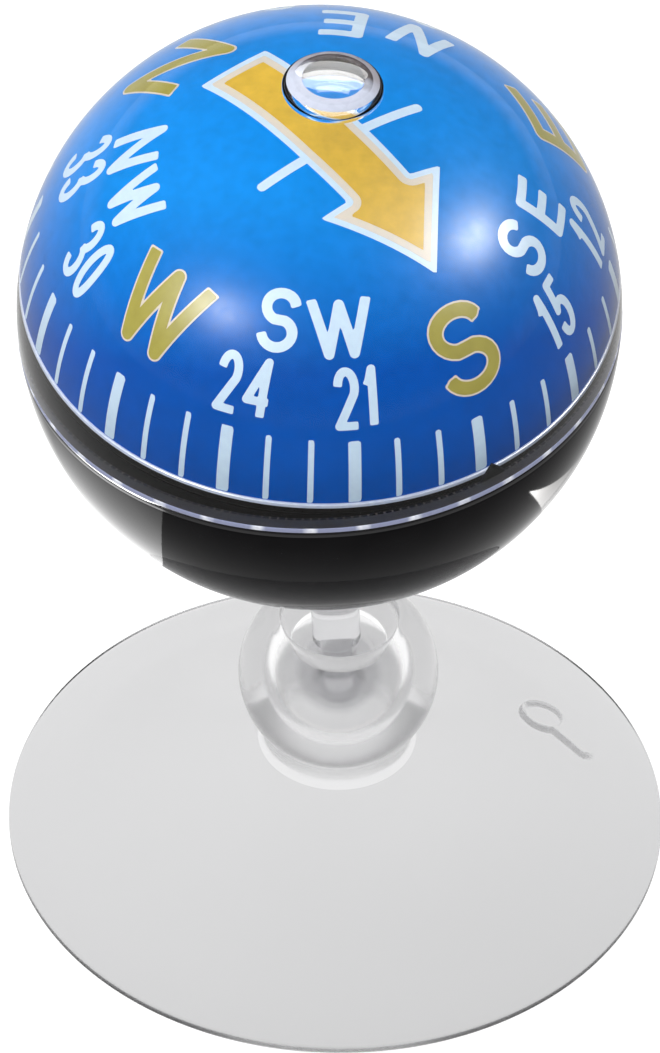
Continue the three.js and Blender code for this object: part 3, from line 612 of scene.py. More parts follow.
# Glyph, bearing, width, foot and height along the outline
WHITE_LETTERS = [
    ("S", 231.4, 2.6, 10.2, 4.1), ("W", 212.4, 4.0, 10.0, 3.95),
    ("S", 144.8, 2.65, 8.75, 3.95), ("E", 127.2, 2.6, 8.3, 3.95),
    ("N", 64.2, 2.7, 9.7, 3.9), ("E", 43.6, 2.6, 10.35, 3.9),
    ("N", 322.3, 2.7, 10.85, 3.9), ("W", 302.0, 3.7, 10.8, 3.9),
]
GOLD_LETTERS = [
    ("W", 267.4, 6.1, 6.9, 6.2), ("S", 178.6, 4.5, 5.5, 6.1),
    ("N", 358.0, 5.2, 8.9, 5.1), ("E", 93.8, 4.7, 4.3, 5.5),
]

# The arrow and its bar in plan, a little off the card's middle, as printed
ARROW = [
    (-1.5, 8.95), (-1.45, 0.0), (-1.3, -4.1), (-3.3, -4.1), (0.72, -10.45),
    (5.2, -4.6), (3.15, -4.4), (3.0, 0.0), (2.85, 8.5),
]
ARROW_BAR = [(-4.55, -0.02), (6.65, -0.34)]

# Lifts over the card of the foot and the top of each layer of ink, and of the bar that lies under the arrow
LAYERS = ((0.004, 0.03), (0.034, 0.05), (0.054, 0.07))
BAR_LAYER = (0.004, 0.026)

# Bearing on which the ticks are longest
TICK_BEARING = 250.0


def glyph_strokes(glyph, width, height, half):
    """A glyph's strokes in millimetres, its ink reaching the given width and height."""
    fitted = []
    for stroke in GLYPHS[glyph]:
        stroke = np.asarray(stroke, dtype=float)
        fitted.append(np.stack([
            -width / 2.0 + half + stroke[:, 0] * (width - 2.0 * half),
            half + stroke[:, 1] * (height - 2.0 * half),
        ], axis=1))
    return fitted


def glyph_region(glyph, width, height, half, cell, shrink=0.0, rounding=0.12):
    """Flat region of one glyph, drawn in by shrink."""
    strokes = glyph_strokes(glyph, width, height, half)
    margin = half + cell
    return cut_region(
        lambda x, y: stroke_distance(x, y, strokes, half, rounding) + shrink,
        (-width / 2.0 - margin, -margin), (width / 2.0 + margin, height + margin), cell)


# The user's settings

class COMPASS_PG_settings(bpy.types.PropertyGroup):
    """Colours, the ball's refraction and the bubble's width."""
    # The card's two blues paint shade at its edge and light on its crown.
    shaded_edge_blue: bpy.props.FloatVectorProperty(
        name="Card colour", description="Blue of the printed card at its edge", subtype="COLOR", size=3,
        min=0.0, max=1.0, default=linear(0, 84, 182)[:3])
    lit_crown_blue: bpy.props.FloatVectorProperty(
        name="Crown colour", description="Blue of the printed card on its crown", subtype="COLOR", size=3,
        min=0.0, max=1.0, default=linear(10, 143, 236)[:3])
    gold_colour: bpy.props.FloatVectorProperty(
        name="Gold ink", description="Ink of the arrow and of the four main letters", subtype="COLOR",
        size=3, min=0.0, max=1.0, default=linear(232, 190, 66)[:3])
    vinyl_tint: bpy.props.FloatVectorProperty(
        name="Vinyl tint", description="Tint of the clear suction cup", subtype="COLOR", size=3,
        min=0.0, max=1.0, default=(0.812, 0.812, 0.815))
    refraction: bpy.props.FloatProperty(
        name="Ball refraction", description="Refractive index of the filled ball", default=1.4,
        min=1.0, max=2.0)
    bubble_width: bpy.props.FloatProperty(
        name="Air bubble", description="Width of the air bubble under the top of the dome",
        subtype="DISTANCE", unit="LENGTH", default=0.0066, min=0.001, max=0.012)


def settings_of(context):
    """The scene's compass settings."""
    return context.scene.compass


# Pieces

# Plug and pointer: size, and place about the ball's centre
PLUG_RADIUS = 2.5
PLUG_TILT = math.radians(38.0)
POINTER_SIZE = (1.9, 0.5, 1.3)
POINTER_TURN = math.radians(37.7)
POINTER_FOOT = (0.0, -18.45, -1.42)

# Where the bubble stands from the top of the ball, in degrees: back, then right
BUBBLE_LEAN = (-5.5, 1.8)

# Release tab, moulded on the cup's back: its middle, its turn from the radius,
# and the middle and radius of its head's and of its tongue's end
TAB_MIDDLE = CUP_RADIUS - 5.45
TAB_BEARING = math.radians(20.2)
TAB_TURN = math.radians(-60.2)
TAB_HEAD = (-2.35, 1.75)
TAB_TONGUE = (1.5, 0.85)
TAB_HEIGHT = 0.5
TAB_SLOPE = 0.34
TAB_DISH_EDGE = 0.3
TAB_DISH_DEPTH = 0.8
TAB_SPREAD = 0.27

# Funnel of the knob's mouth, wide enough for the stem to swing both ways at once
FUNNEL_SWING = math.acos(math.cos(TILT_LIMIT) ** 2)
FUNNEL_ROD = STEM_NECK_RADIUS + CLEARANCE


def bell_height(radius):
    """Height of the cup's back: lip + (shoulder - lip) (1 - u) ** power, u from the neck to the rim."""
    run = np.clip((radius - NECK_RADIUS) / (CUP_RADIUS - NECK_RADIUS), 0.0, 1.0)
    return LIP_THICKNESS + (SHOULDER_HEIGHT - LIP_THICKNESS) * (1.0 - run) ** BELL_POWER


def ease(value):
    """0 to 1 with flat ends: 3 v ** 2 - 2 v ** 3."""
    share = np.clip(value, 0.0, 1.0)
    return share * share * (3.0 - 2.0 * share)


def tab_lift(x, y):
    """Rise of the release tab over the cup's back: a round head with a dished middle, and a tongue."""
    reach = x * math.cos(TAB_BEARING) + y * math.sin(TAB_BEARING) - TAB_MIDDLE
    side = y * math.cos(TAB_BEARING) - x * math.sin(TAB_BEARING)
    along = reach * math.cos(TAB_TURN) + side * math.sin(TAB_TURN)
    across = side * math.cos(TAB_TURN) - reach * math.sin(TAB_TURN)
    head = np.hypot(along - TAB_HEAD[0], across) - TAB_HEAD[1]
    held = np.clip(along, TAB_HEAD[0], TAB_TONGUE[0])
    tongue = np.hypot(along - held, across) - TAB_TONGUE[1]
    rise = ease(-np.minimum(head, tongue) / TAB_SLOPE)
    dish = TAB_DISH_DEPTH * ease((-head - TAB_DISH_EDGE) / TAB_SLOPE)
    return TAB_HEIGHT * rise * (1.0 - dish)


def cone_height(sphere_radius, swing):
    """Height over the knob's centre where the funnel's cone meets a sphere about that centre."""
    tangent = math.tan(swing)
    base = FUNNEL_ROD / math.cos(swing)
    a, b, c = 1.0 + tangent ** 2, 2.0 * tangent * base, base ** 2 - sphere_radius ** 2
    return (math.sqrt(b * b - 4.0 * a * c) - b) / (2.0 * a)


def cone_turn(sphere_radius, swing):
    """The same place as an angle over the level, in degrees."""
    return math.degrees(math.asin(cone_height(sphere_radius, swing) / sphere_radius))


def cup_back():
    """Rows of the bell's back from the lip to the neck, dense where the tab stands."""
    lip_end, tab_far, tab_near = CUP_RADIUS - 2.0 * LIP_ROUND, 20.2, 13.9
    radius = np.concatenate([
        np.linspace(lip_end, tab_far, 10)[:-1],
        np.linspace(tab_far, tab_near, 84)[:-1],
        np.linspace(tab_near, NECK_RADIUS + NECK_FILLET, 24),
    ])
    return np.stack([radius, bell_height(radius)], axis=1)


def cup_knob():
    """Rows of the knob: fillet on the neck, sphere, rounded mouth, funnel, and the socket's sphere."""
    root = NECK_RADIUS + NECK_FILLET
    fillet = corner(root, float(bell_height(root)) + NECK_FILLET, -NECK_FILLET, 90.0, 0.0, 9)
    foot = -math.degrees(math.acos(NECK_RADIUS / KNOB_RADIUS))
    mouth = cone_turn(KNOB_RADIUS, FUNNEL_SWING)
    sphere = arc(KNOB_RADIUS, foot, mouth - 4.5, 52, KNOB_CENTRE_HEIGHT)
    crest = arc(KNOB_RADIUS - MOUTH_DROP, mouth - 2.0, mouth, 3, KNOB_CENTRE_HEIGHT)
    top = cone_height(KNOB_RADIUS, FUNNEL_SWING) - 0.4
    height = np.linspace(top, cone_height(SOCKET_RADIUS, FUNNEL_SWING), 5)[:-1]
    radius = FUNNEL_ROD / math.cos(FUNNEL_SWING) + height * math.tan(FUNNEL_SWING)
    funnel = np.stack([radius, KNOB_CENTRE_HEIGHT + height], axis=1)
    socket = arc(SOCKET_RADIUS, cone_turn(SOCKET_RADIUS, FUNNEL_SWING), -90.0, 40, KNOB_CENTRE_HEIGHT)
    return np.concatenate([fillet[1:], sphere, crest, funnel, socket])


def make_cup(context):
    """Cup: hollow h = h0 (1 - (r / r0) ** 2) ** 1.3, flat seal, round lip, bell and knob, turned about the
    axis, with the tab as a rise of the bell's back."""
    seal = CUP_RADIUS - SEAL_WIDTH
    radius = np.linspace(0.0, seal, 26)
    rise = (1.0 - (radius / seal) ** 2) ** 1.3
    hollow = np.stack([radius, (SHOULDER_HEIGHT - CROWN_THICKNESS) * rise], axis=1)
    under = corner(CUP_RADIUS - LIP_ROUND, LIP_ROUND, LIP_ROUND, -90.0, 0.0)
    over = corner(CUP_RADIUS - LIP_ROUND, LIP_THICKNESS - LIP_ROUND, LIP_ROUND, 0.0, 90.0)
    back = cup_back()[1:]
    profile = np.concatenate([hollow, under, over, back, cup_knob()])
    near, far = TAB_BEARING - TAB_SPREAD, TAB_BEARING + TAB_SPREAD
    angles = np.concatenate([np.linspace(near, far, 110), np.linspace(far, near + 2.0 * math.pi, 170)[1:-1]])
    grid = turned(profile, angles)
    first = len(hollow) + len(under) + len(over)
    bell = grid[first:first + len(back)]
    bell[:, :, 2] += tab_lift(bell[:, :, 0], bell[:, :, 1])
    points, faces = skin(grid)
    tint = np.array(settings_of(context).vinyl_tint)
    vinyl = clear_material("clear_vinyl", (*tint, 1.0), 1.22, 0.18, 0.012, 0.22)
    thin = clear_material("knob_vinyl", (*(tint ** 0.36), 1.0), 1.17, 0.2, 0.012, 0.22)
    bands = np.zeros(len(profile) - 1, dtype=int)
    bands[first + len(back) + 3:] = 1
    add_piece("clear_cup", points, faces, [vinyl, thin], "cup", "clear_vinyl", ["suction_cup"],
              np.repeat(bands, grid.shape[1]))


def make_stem(context):
    """Bush, bead and stem, turned about an axis through the knob's centre, upright for the bush alone."""
    profile = np.concatenate([
        arc(BUSH_RADIUS, -90.0, cone_turn(BUSH_RADIUS, TILT_LIMIT), 40),
        arc(BUSH_BORE, cone_turn(BUSH_BORE, TILT_LIMIT), -90.0, 30),
    ])
    film = film_material("bush_plastic", linear(232, 232, 236), linear(214, 214, 219), 0.1)
    add_turned("clear_bush", profile, level(KNOB_CENTRE), [film], "bush", "clear_plastic", ["socket_bush"], 96)

    place = leaning(KNOB_CENTRE)
    bore, counterbore, counterbore_top = PIN_RADIUS + CLEARANCE, 1.85, -0.9
    start = -math.degrees(math.acos(counterbore / BEAD_RADIUS))
    end = math.degrees(math.acos(bore / BEAD_RADIUS))
    profile = np.concatenate([
        arc(BEAD_RADIUS, start, end, 30), [[bore, counterbore_top], [counterbore, counterbore_top]]])
    film = film_material("bead_plastic", linear(226, 226, 230), linear(205, 205, 210), 0.16)
    add_turned("clear_bead", profile, place, [film], "bead", "clear_plastic", ["stem_bead"], 96, closed=True)

    ball = STEM_LENGTH + BALL_RADIUS
    neck_foot = chord(BEAD_RADIUS, bore) + CLEARANCE
    neck_top = KNOB_RADIUS + CLEARANCE
    seat = BALL_RADIUS + 0.03
    flange_foot = ball - chord(seat, FLANGE_RADIUS) - FLANGE_THICKNESS
    profile = np.concatenate([
        [[0.0, -1.8], [1.45, -1.8], [1.55, -1.7], [1.55, -1.2], [PIN_RADIUS, -1.2]],
        slope((PIN_RADIUS, neck_foot), (STEM_NECK_RADIUS, neck_foot + 0.7), 8),
        slope((STEM_NECK_RADIUS, neck_top), (STEM_BODY_RADIUS, neck_top + 2.0)),
        slope((STEM_BODY_RADIUS, flange_foot - 2.2), (FLANGE_RADIUS, flange_foot)),
        arc(seat, -math.degrees(math.acos(FLANGE_RADIUS / seat)), -90.0, 12, ball),
    ])
    stem = clear_material("stem_plastic", (0.86, 0.86, 0.866, 1.0), 1.15, 0.15, 0.006, 0.5)
    add_turned("clear_stem", profile, place, [stem], "ball", "clear_plastic", ["swivel_stem"], 96)


def make_bowl(context):
    """Bowl: outer and inner sphere joined by a flat ribbed lip with a round edge, and the plug's low head."""
    place = leaning(BALL_CENTRE)
    lip, rounding, mouth = 1.4, 0.4, 17.95
    inner = BALL_RADIUS - 1.4
    edge_turn = -math.degrees(math.asin((lip + rounding) / (BALL_RADIUS - rounding)))
    edge_radius = chord(BALL_RADIUS - rounding, lip + rounding)
    sphere = arc(BALL_RADIUS, -90.0, edge_turn, 110)
    edge = corner(edge_radius, -lip - rounding, rounding, edge_turn + 10.0, 90.0, 9)
    profile = np.concatenate([
        sphere, edge, [[edge_radius - 0.1, -lip], [mouth, -lip]],
        arc(inner, -math.degrees(math.acos(mouth / inner)), -76.0, 60),
        [[4.6, -15.7], [0.0, -15.7]],
    ])
    edge_start = len(sphere) - 1
    lip_start = edge_start + len(edge)
    bands = np.zeros(len(profile) - 1, dtype=int)
    bands[edge_start:lip_start] = 1
    bands[lip_start:lip_start + 3] = 2
    satin = principled("lip_gloss", linear(14, 13, 15), linear(22, 21, 24), 0.12, 4.0)
    # The lip's stripes are painted reflections of the card's ticks on a flat face.
    reflection_stripes = reflection_striped_material("lip_painted_tick_reflections", linear(5, 5, 5), linear(84, 78, 75), 216, 0.45, 1.0, 0.3, 0.05)
    add_turned("black_bowl", profile, place, [black_gloss(), satin, reflection_stripes], "ball", "black_gloss",
               ["lower_bowl"], 240, bands=bands)

    seat = BALL_RADIUS + 0.02
    profile = np.concatenate([
        [[0.0, -seat - 0.6]],
        corner(PLUG_RADIUS, -seat - 0.4, 0.2, -90.0, 0.0),
        arc(seat, -math.degrees(math.acos((PLUG_RADIUS + 0.2) / seat)), -90.0, 8),
    ])
    points, faces = skin(turned(profile, 64))
    turn = np.array(Matrix.Rotation(PLUG_TILT, 3, "X"))
    rubber = principled("black_rubber", linear(20, 20, 22), linear(36, 36, 38), 0.65, 6.0, bump=0.3)
    add_piece("plug_head", place(points @ turn.T), faces, [rubber], "ball", "black_rubber", ["fill_plug"])


def make_seam(context):
    """Seam ring between bowl and dome, pale outside only, and the pointer on the bowl's lip."""
    place = leaning(BALL_CENTRE)
    top, foot, rounding = -0.97, -1.38, 0.1
    outer, inner = BALL_RADIUS - 0.02, 19.0
    profile = np.concatenate([
        [[inner, foot], [outer - rounding, foot]],
        corner(outer - rounding, foot + rounding, rounding, -90.0, 0.0, 4)[1:],
        corner(outer - rounding, top - rounding, rounding, 0.0, 90.0, 4),
        [[inner, top]],
    ])
    bands = np.ones(len(profile), dtype=int)
    bands[1:8] = 0
    # Pale tone paints the seam's highlight and its 36 dashes paint reflections of the ticks; gasket_shade
    # paints shade on the ring's other faces.
    pale = reflection_striped_material("pale_gasket", linear(146, 152, 184), linear(244, 247, 255), 36, 0.55, 0.95, 1.4)
    shade = principled("gasket_shade", linear(16, 14, 14), linear(26, 22, 21), 0.6, 2.0)
    add_turned("seam_ring", profile, place, [pale, shade], "ball", "pale_gasket",
               ["seam_gasket"], 240, closed=True, bands=bands)
    points, faces = pointer_wedge()
    matte = principled("black_pointer", linear(8, 8, 9), linear(15, 15, 16), 0.5, 5.0, gloss=0.1)
    add_piece("pointer_wedge", place(points), faces, [matte], "ball", "black_matte", ["lubber_pointer"])


def pointer_wedge():
    """Wedge on the lip, its section a rounded box |x| ** 3.3 + |y| ** 3.3 = 1 that narrows by 1 - h ** 1.5."""
    width, thickness, height = POINTER_SIZE
    rise = np.linspace(0.0, 1.0, 14)[:, None]
    around = np.linspace(0.0, 2.0 * math.pi, 32, endpoint=False)
    across, along = [np.sign(wave) * np.abs(wave) ** 0.6 for wave in (np.cos(around), np.sin(around))]
    x = (width / 2.0 * (1.0 - rise ** 1.5) + 0.04) * across
    y = (thickness / 2.0) * along * (1.0 - 0.5 * rise ** 2)
    grid = np.stack([x, y, np.broadcast_to(height * rise, x.shape)], axis=2)
    ends = [0.0, 0.0, 1.0]
    points, faces = skin(np.concatenate([grid[:1] * ends, grid, grid[-1:] * ends]))
    turn = np.array(Matrix.Rotation(POINTER_TURN, 3, "Z"))
    return (points + POINTER_FOOT) @ turn.T, faces


def make_dome(context):
    """Dome: outer sphere that bends light, inner sphere that lets it pass, and a flat edge."""
    inner, edge = BALL_RADIUS - DOME_WALL, 0.95
    outer_rows = arc(BALL_RADIUS, -math.degrees(math.asin(edge / BALL_RADIUS)), 90.0, 120)
    inner_rows = arc(inner, 90.0, -math.degrees(math.asin(edge / inner)), 60)
    profile = np.concatenate([inner_rows[-1:], outer_rows, inner_rows[:-1]])
    bands = np.ones(len(profile), dtype=int)
    bands[1:len(outer_rows)] = 0
    glass = clear_material("clear_dome", WHITE, settings_of(context).refraction, mirror=0.3)
    add_turned("clear_dome", profile, leaning(BALL_CENTRE), [glass, pass_material("liquid_pass")], "ball",
               "clear_plastic", ["upper_dome"], 240, closed=True, bands=bands)


def painted_bubble_reflection(name, back, front):
    """Silvery ring of the air bubble, one tone at its back and another at its front, a little clouded."""
    material, shader = new_material(name)
    place = shader.position()
    cloud = shader.noise(place, 1.6, 3.0)
    reach = shader.node("VectorMath", {"operation": "DOT_PRODUCT"}, {0: place, 1: (0.35, 1.0, 0.0)}, "Value")
    shader.surface(shader.node("BsdfPrincipled", inputs={
        "Base Color": mix_color(shader, shader.span(reach + cloud * 1.4, 1.6, 3.4), front, back),
        "Roughness": shader.span(cloud, 0.3, 0.7, 0.2, 0.4),
    }))
    return material


def make_bubble(context):
    """Air bubble: its top follows the dome's inside, its side is half a circle with a silvery edge,
    and its underside h = s (r ** 2 - 1) is nearly flat."""
    settings = settings_of(context)
    roof = BALL_RADIUS - DOME_WALL - 0.03
    half = settings.bubble_width / MM / 2.0
    rim, sag = 1.05, 0.25
    top = arc(roof, 90.0 - math.degrees(math.asin((half - rim) / roof)), 90.0, 24)
    side = corner(half - rim, top[0, 1] - rim, rim, -85.0, 84.0, 24)
    share = np.linspace(0.0, 1.0, 24)[:-1]
    foot_radius, foot_height = side[0]
    under = np.stack([foot_radius * share, foot_height - sag * (1.0 - share ** 2)], axis=1)
    profile = np.concatenate([under, side, top])
    bands = np.zeros(len(profile) - 1, dtype=int)
    # Band 1 paints the edge's silvery reflection; band 2 is painted shade, dark at the back and pale at the
    # front.
    edge_start = len(under) + 17
    bands[edge_start:edge_start + 4] = 1
    bands[edge_start + 4:edge_start + 9] = 2
    air = clear_material("air_bubble", WHITE, 1.0 / settings.refraction)
    edge = painted_bubble_reflection("bubble_painted_silver", linear(176, 172, 180), linear(212, 218, 236))
    shade = painted_bubble_reflection("bubble_painted_shade", linear(58, 48, 50), linear(206, 212, 230))
    back, right = [Matrix.Rotation(math.radians(lean), 3, axis) for lean, axis in zip(BUBBLE_LEAN, "XY")]
    turn = np.array(back @ right)
    add_turned("air_bubble", profile, lambda points: points @ turn.T + BALL_CENTRE, [air, edge, shade],
               "ball", "clear_plastic", (), 128, bands=bands)


def make_card(context):
    """Card: a shell between two superellipse domes, and the pale ring under its edge."""
    settings = settings_of(context)
    place = level(FLOAT_CENTRE)
    outer = card_profile(CARD_RADIUS, CARD_CROWN, 130)
    inner = card_profile(CARD_RADIUS - CARD_WALL, CARD_CROWN - CARD_WALL, 60)[::-1]
    points, faces = skin(turned(np.concatenate([outer, inner]), 256), closed=True)
    add_piece("card_shell", place(points), faces, [card_blue(settings)], "card", "card_blue", ["card_dome"])
    top, foot, reach, inset = CARD_EDGE - 0.02, -2.0, CARD_RADIUS + 0.2, 14.65
    rounding = 0.14
    profile = np.concatenate([
        [[inset, foot], [reach - 0.1, foot], [reach, foot + 0.1], [reach, top - 2.0 * rounding]],
        corner(reach - rounding, top - rounding, rounding, 0.0, 90.0),
        [[inset, top]],
    ])
    # The rim's pale top paints the edge's highlight line; rim_shade paints shade on its side and underside.
    bands = np.zeros(len(profile), dtype=int)
    bands[:3] = 1
    white = principled("rim_white", linear(222, 230, 246), linear(196, 210, 240), 0.3, 3.0)
    dark = principled("rim_shade", linear(12, 10, 10), linear(20, 17, 16), 0.5, 2.0, gloss=0.04)
    add_turned("card_edge", profile, place, [white, dark], "card", "rim_white", ["card_rim"], 240,
               closed=True, bands=bands)


def make_printing(context):
    """Printing: ticks, numbers, letters and the arrow as thin films of ink on the card."""
    white, pale, gold, ochre = Film(), Film(), Film(), Film()
    for bearing in range(0, 360, 10):
        half = 0.4 if bearing % 30 == 0 else 0.19
        side = math.radians(bearing - TICK_BEARING)
        top = 3.5 + 1.4 * math.cos(side)
        tick = cut_region(
            lambda x, y: box_distance(x, y, (0.0, 0.1), (0.0, top), half - 0.05) - 0.05,
            (-half - 0.15, -0.1), (half + 0.15, top + 0.3), 0.2)
        white.add(tick, wrap(bearing - 0.4 - 1.1 * math.sin(side), 0.0), LAYERS[0])
    for text, bearing, foot, height in NUMBERS:
        widths = [DIGIT_WIDTHS.get(digit, OTHER_DIGIT_WIDTH) for digit in text]
        start = -(sum(widths) + DIGIT_PITCH * (len(text) - 1)) / 2.0
        for digit, width in zip(text, widths):
            region = glyph_region(digit, width, height, 0.275, 0.08, rounding=0.09)
            region[0][:, 0] += start + width / 2.0
            start += width + DIGIT_PITCH
            white.add(region, wrap(bearing, foot), LAYERS[0])
    for glyph, bearing, width, foot, height in WHITE_LETTERS:
        white.add(glyph_region(glyph, width, height, 0.33, 0.1), wrap(bearing, foot), LAYERS[0])
    for glyph, bearing, width, foot, height in GOLD_LETTERS:
        lay = wrap(bearing, foot)
        pale.add(glyph_region(glyph, width, height, 0.54, 0.12), lay, LAYERS[0])
        ochre.add(glyph_region(glyph, width, height, 0.54, 0.12, shrink=0.12), lay, LAYERS[1])
    for film, shrink, lifts in zip((white, pale, gold), (0.0, 0.38, 0.85), LAYERS):
        arrow = cut_region(
            lambda x, y: polygon_distance(x, y, ARROW) + shrink, (-3.8, -10.9), (5.6, 9.4), 0.2)
        film.add(arrow, project, lifts)
    bar = cut_region(
        lambda x, y: box_distance(x, y, *ARROW_BAR, 0.05) - 0.26, (-5.2, -0.9), (7.3, 0.6), 0.15)
    white.add(bar, project, BAR_LAYER)

    tone = np.array(settings_of(context).gold_colour)
    bright, deep, olive, deep_olive = [
        (*(tone * share), 1.0) for share in (1.0, 0.72, (0.53, 0.73, 1.3), (0.42, 0.58, 1.0))]
    for film, piece, name, first, second, grain, slot in (
        (white, "white_marks", "white_ink", linear(211, 235, 253), linear(200, 223, 246), 2.0, "rim_white"),
        (pale, "pale_marks", "pale_ink", linear(228, 216, 196), linear(214, 208, 200), 2.5, "rim_white"),
        (gold, "gold_marks", "gold_ink", bright, deep, 1.2, "brass"),
        (ochre, "gold_letters", "ochre_ink", olive, deep_olive, 1.2, "brass"),
    ):
        film.piece(piece, principled(name, first, second, 0.4, grain, gloss=0.1), slot)


# Inner parts: material, its two colours, roughness, grain and further settings
INNER_FINISHES = {
    "float_base": ("float_dark", (11, 10, 10), (19, 16, 15), 0.5, 2.0, {"gloss": 0.04}),
    "keeper_ring": ("keeper_brass", (190, 150, 76), (158, 120, 58), 0.32, 4.0, {"metallic": 1.0}),
    "magnet_carrier": ("carrier_dark", (34, 33, 34), (50, 48, 48), 0.55, 3.0, {"bump": 0.2}),
    "magnet_bar_east": ("magnet_grey", (92, 95, 100), (70, 72, 76), 0.38, 3.0, {"metallic": 0.8, "bump": 0.2}),
    "pivot_post": ("post_dark", (30, 30, 32), (44, 44, 46), 0.45, 3.0, {}),
    "post_collar": ("collar_brass", (186, 148, 78), (150, 116, 58), 0.3, 5.0, {"metallic": 1.0}),
    "pivot_needle": ("needle_steel", (190, 193, 198), (160, 163, 168), 0.2, 8.0, {"metallic": 1.0}),
    "jewel_bead": ("jewel_red", (158, 30, 58), (120, 18, 40), 0.06, 1.5, {}),
    "jewel_holder": ("holder_brass", (200, 160, 84), (168, 130, 66), 0.28, 5.0, {"metallic": 1.0}),
}


def make_inside(context):
    """Gives the carried-over parts inside the float their finishes."""
    finishes = {
        node: principled(name, linear(*first), linear(*second), roughness, grain, **more)
        for node, (name, first, second, roughness, grain, more) in INNER_FINISHES.items()
    }
    finishes["magnet_bar_west"] = finishes["magnet_bar_east"]
    for name, material in finishes.items():
        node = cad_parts[name]
        node.data.materials.clear()
        node.data.materials.append(material)


# Stage

CAMERA_ELEVATION = 44.39
CAMERA_DISTANCE = 1800.0
CAMERA_ROLL = 1.2
CAMERA_SCALE = 14.663
PICTURE_HEIGHT = 1053.0
AIM = (-0.78, 0.0, 28.45)


def aim(thing, place, target, roll=0.0):
    """Puts a camera or lamp at a place and turns it to a target, rolled about its view."""
    place, target = Vector(place) * MM, Vector(target) * MM
    turn = (target - place).to_track_quat("-Z", "Y")
    thing.matrix_world = Matrix.Translation(place) @ turn.to_matrix().to_4x4() @ Matrix.Rotation(roll, 4, "Z")


def lamp(name, place, target, size, power, shape="RECTANGLE"):
    """Area lamp of the given sides in millimetres, which the camera doesn't see."""
    data = bpy.data.lights.new(name, "AREA")
    data.shape = shape
    data.size, data.size_y = size[0] * MM, size[1] * MM
    data.energy = power
    light = bpy.data.objects.new(name, data)
    bpy.context.scene.collection.objects.link(light)
    aim(light, place, target)
    light.visible_camera = False
    return light


def mirror_lamp(name, place, target, size, axis, strength, pieces, tint=WHITE):
    """Area lamp that only the mirror finish of the given pieces sees; strength is a function of the
    shader and of the place on the lamp in millimetres."""
    light = lamp(name, place, target, size, 1.0)
    ahead = (Vector(target) - Vector(place)).normalized()
    side = Vector(axis).normalized()
    turn = Matrix((side, side.cross(ahead), -ahead)).transposed().to_4x4()
    light.matrix_world = Matrix.Translation(Vector(place) * MM) @ turn
    light.visible_diffuse = False
    light.light_linking.receiver_collection = pieces
    data = light.data
    data.energy = math.pi * data.size * data.size_y
    data.use_nodes = True
    shader = Shader(data.node_tree)
    spot = shader.node("VectorMath", {"operation": "SCALE"}, {
        "Vector": shader.node("NewGeometry", output="Position"), "Scale": 1000.0})
    glow = shader.node("Emission", inputs={"Color": tint, "Strength": strength(shader, spot)})
    shader.surface(glow, "OutputLight")
    return light


def receivers(name, pieces):
    """Collection of the pieces that a lamp or card lights."""
    group = bpy.data.collections.new(name)
    for piece in pieces:
        group.objects.link(bpy.data.objects[piece])
    return group


def seen_rays(shader, mirrored=1.0):
    """1 for camera and transmission rays, and the given share for mirrored rays."""
    camera, glossy, through = shader.node(
        "LightPath", output=("Is Camera Ray", "Is Glossy Ray", "Is Transmission Ray"))
    return (glossy * mirrored).math("MAXIMUM", camera).math("MAXIMUM", through)


def add_world(scene):
    """Surround: white to the camera, darker over the horizon in mirrors, and a soft light from both sides."""
    world = bpy.data.worlds.new("studio")
    scene.world = world
    world.use_nodes = True
    shader = Shader(world.node_tree)
    direction = shader.node("TexCoord", output="Generated")
    side, height = shader.node("SeparateXYZ", inputs={"Vector": direction}, output=("X", "Z"))
    seen = seen_rays(shader, shader.span(height, 0.0, 0.12, 1.0, 0.3))
    lit = (1.0 - seen_rays(shader)) * (side * side * 1.1 + 0.3)
    shader.surface(shader.node("Background", inputs={"Color": WHITE, "Strength": seen + lit}), "OutputWorld")


def add_floor():
    """Pale floor that glows where it is seen, less in mirrors far from the object."""
    reach = 900.0
    floor = add_mesh("studio_floor", [
        (-reach, -reach, -0.03), (reach, -reach, -0.03), (reach, reach, -0.03), (-reach, reach, -0.03),
    ], [[0, 1, 2, 3]], [])
    material, shader = new_material("studio_floor")
    place = shader.position()
    y = shader.node("SeparateXYZ", inputs={"Vector": place}, output="Y")
    far = shader.node("VectorMath", {"operation": "LENGTH"}, {0: place}, "Value")
    # The glow runs from 0.67 at the front to 0.8 behind: painted shade falling off towards the front.
    seen = seen_rays(shader, shader.span(far, 32.0, 64.0, 1.0, 0.32)) * shader.span(y, -22.0, 14.0, 0.67, 0.8)
    lit = shader.node("BsdfDiffuse", inputs={"Color": (0.4, 0.4, 0.4, 1.0)})
    glow = shader.node("Emission", inputs={"Color": WHITE, "Strength": seen + 0.1})
    shader.surface(shader.node("AddShader", inputs={0: lit, 1: glow}))
    floor.data.materials.append(material)


def left_glow(shader, spot):
    """Fades towards the back and ends on a curve that the bowl shows as an upright line."""
    x, y = shader.node("SeparateXYZ", inputs={"Vector": spot}, output=("X", "Y"))
    inside = (y * 0.458 - y * y * 0.00818 - x).math("GREATER_THAN", 16.2)
    return shader.span(y, -15.0, 12.0, 5.2, 0.5) * inside


def right_glow(shader, spot):
    """Fades towards the back and ends on a slanted line."""
    x, y = shader.node("SeparateXYZ", inputs={"Vector": spot}, output=("X", "Y"))
    inside = (x * 0.751 + y * 0.661).math("GREATER_THAN", 20.3)
    return (y * -0.217).math("EXPONENT") * 9.5 * inside


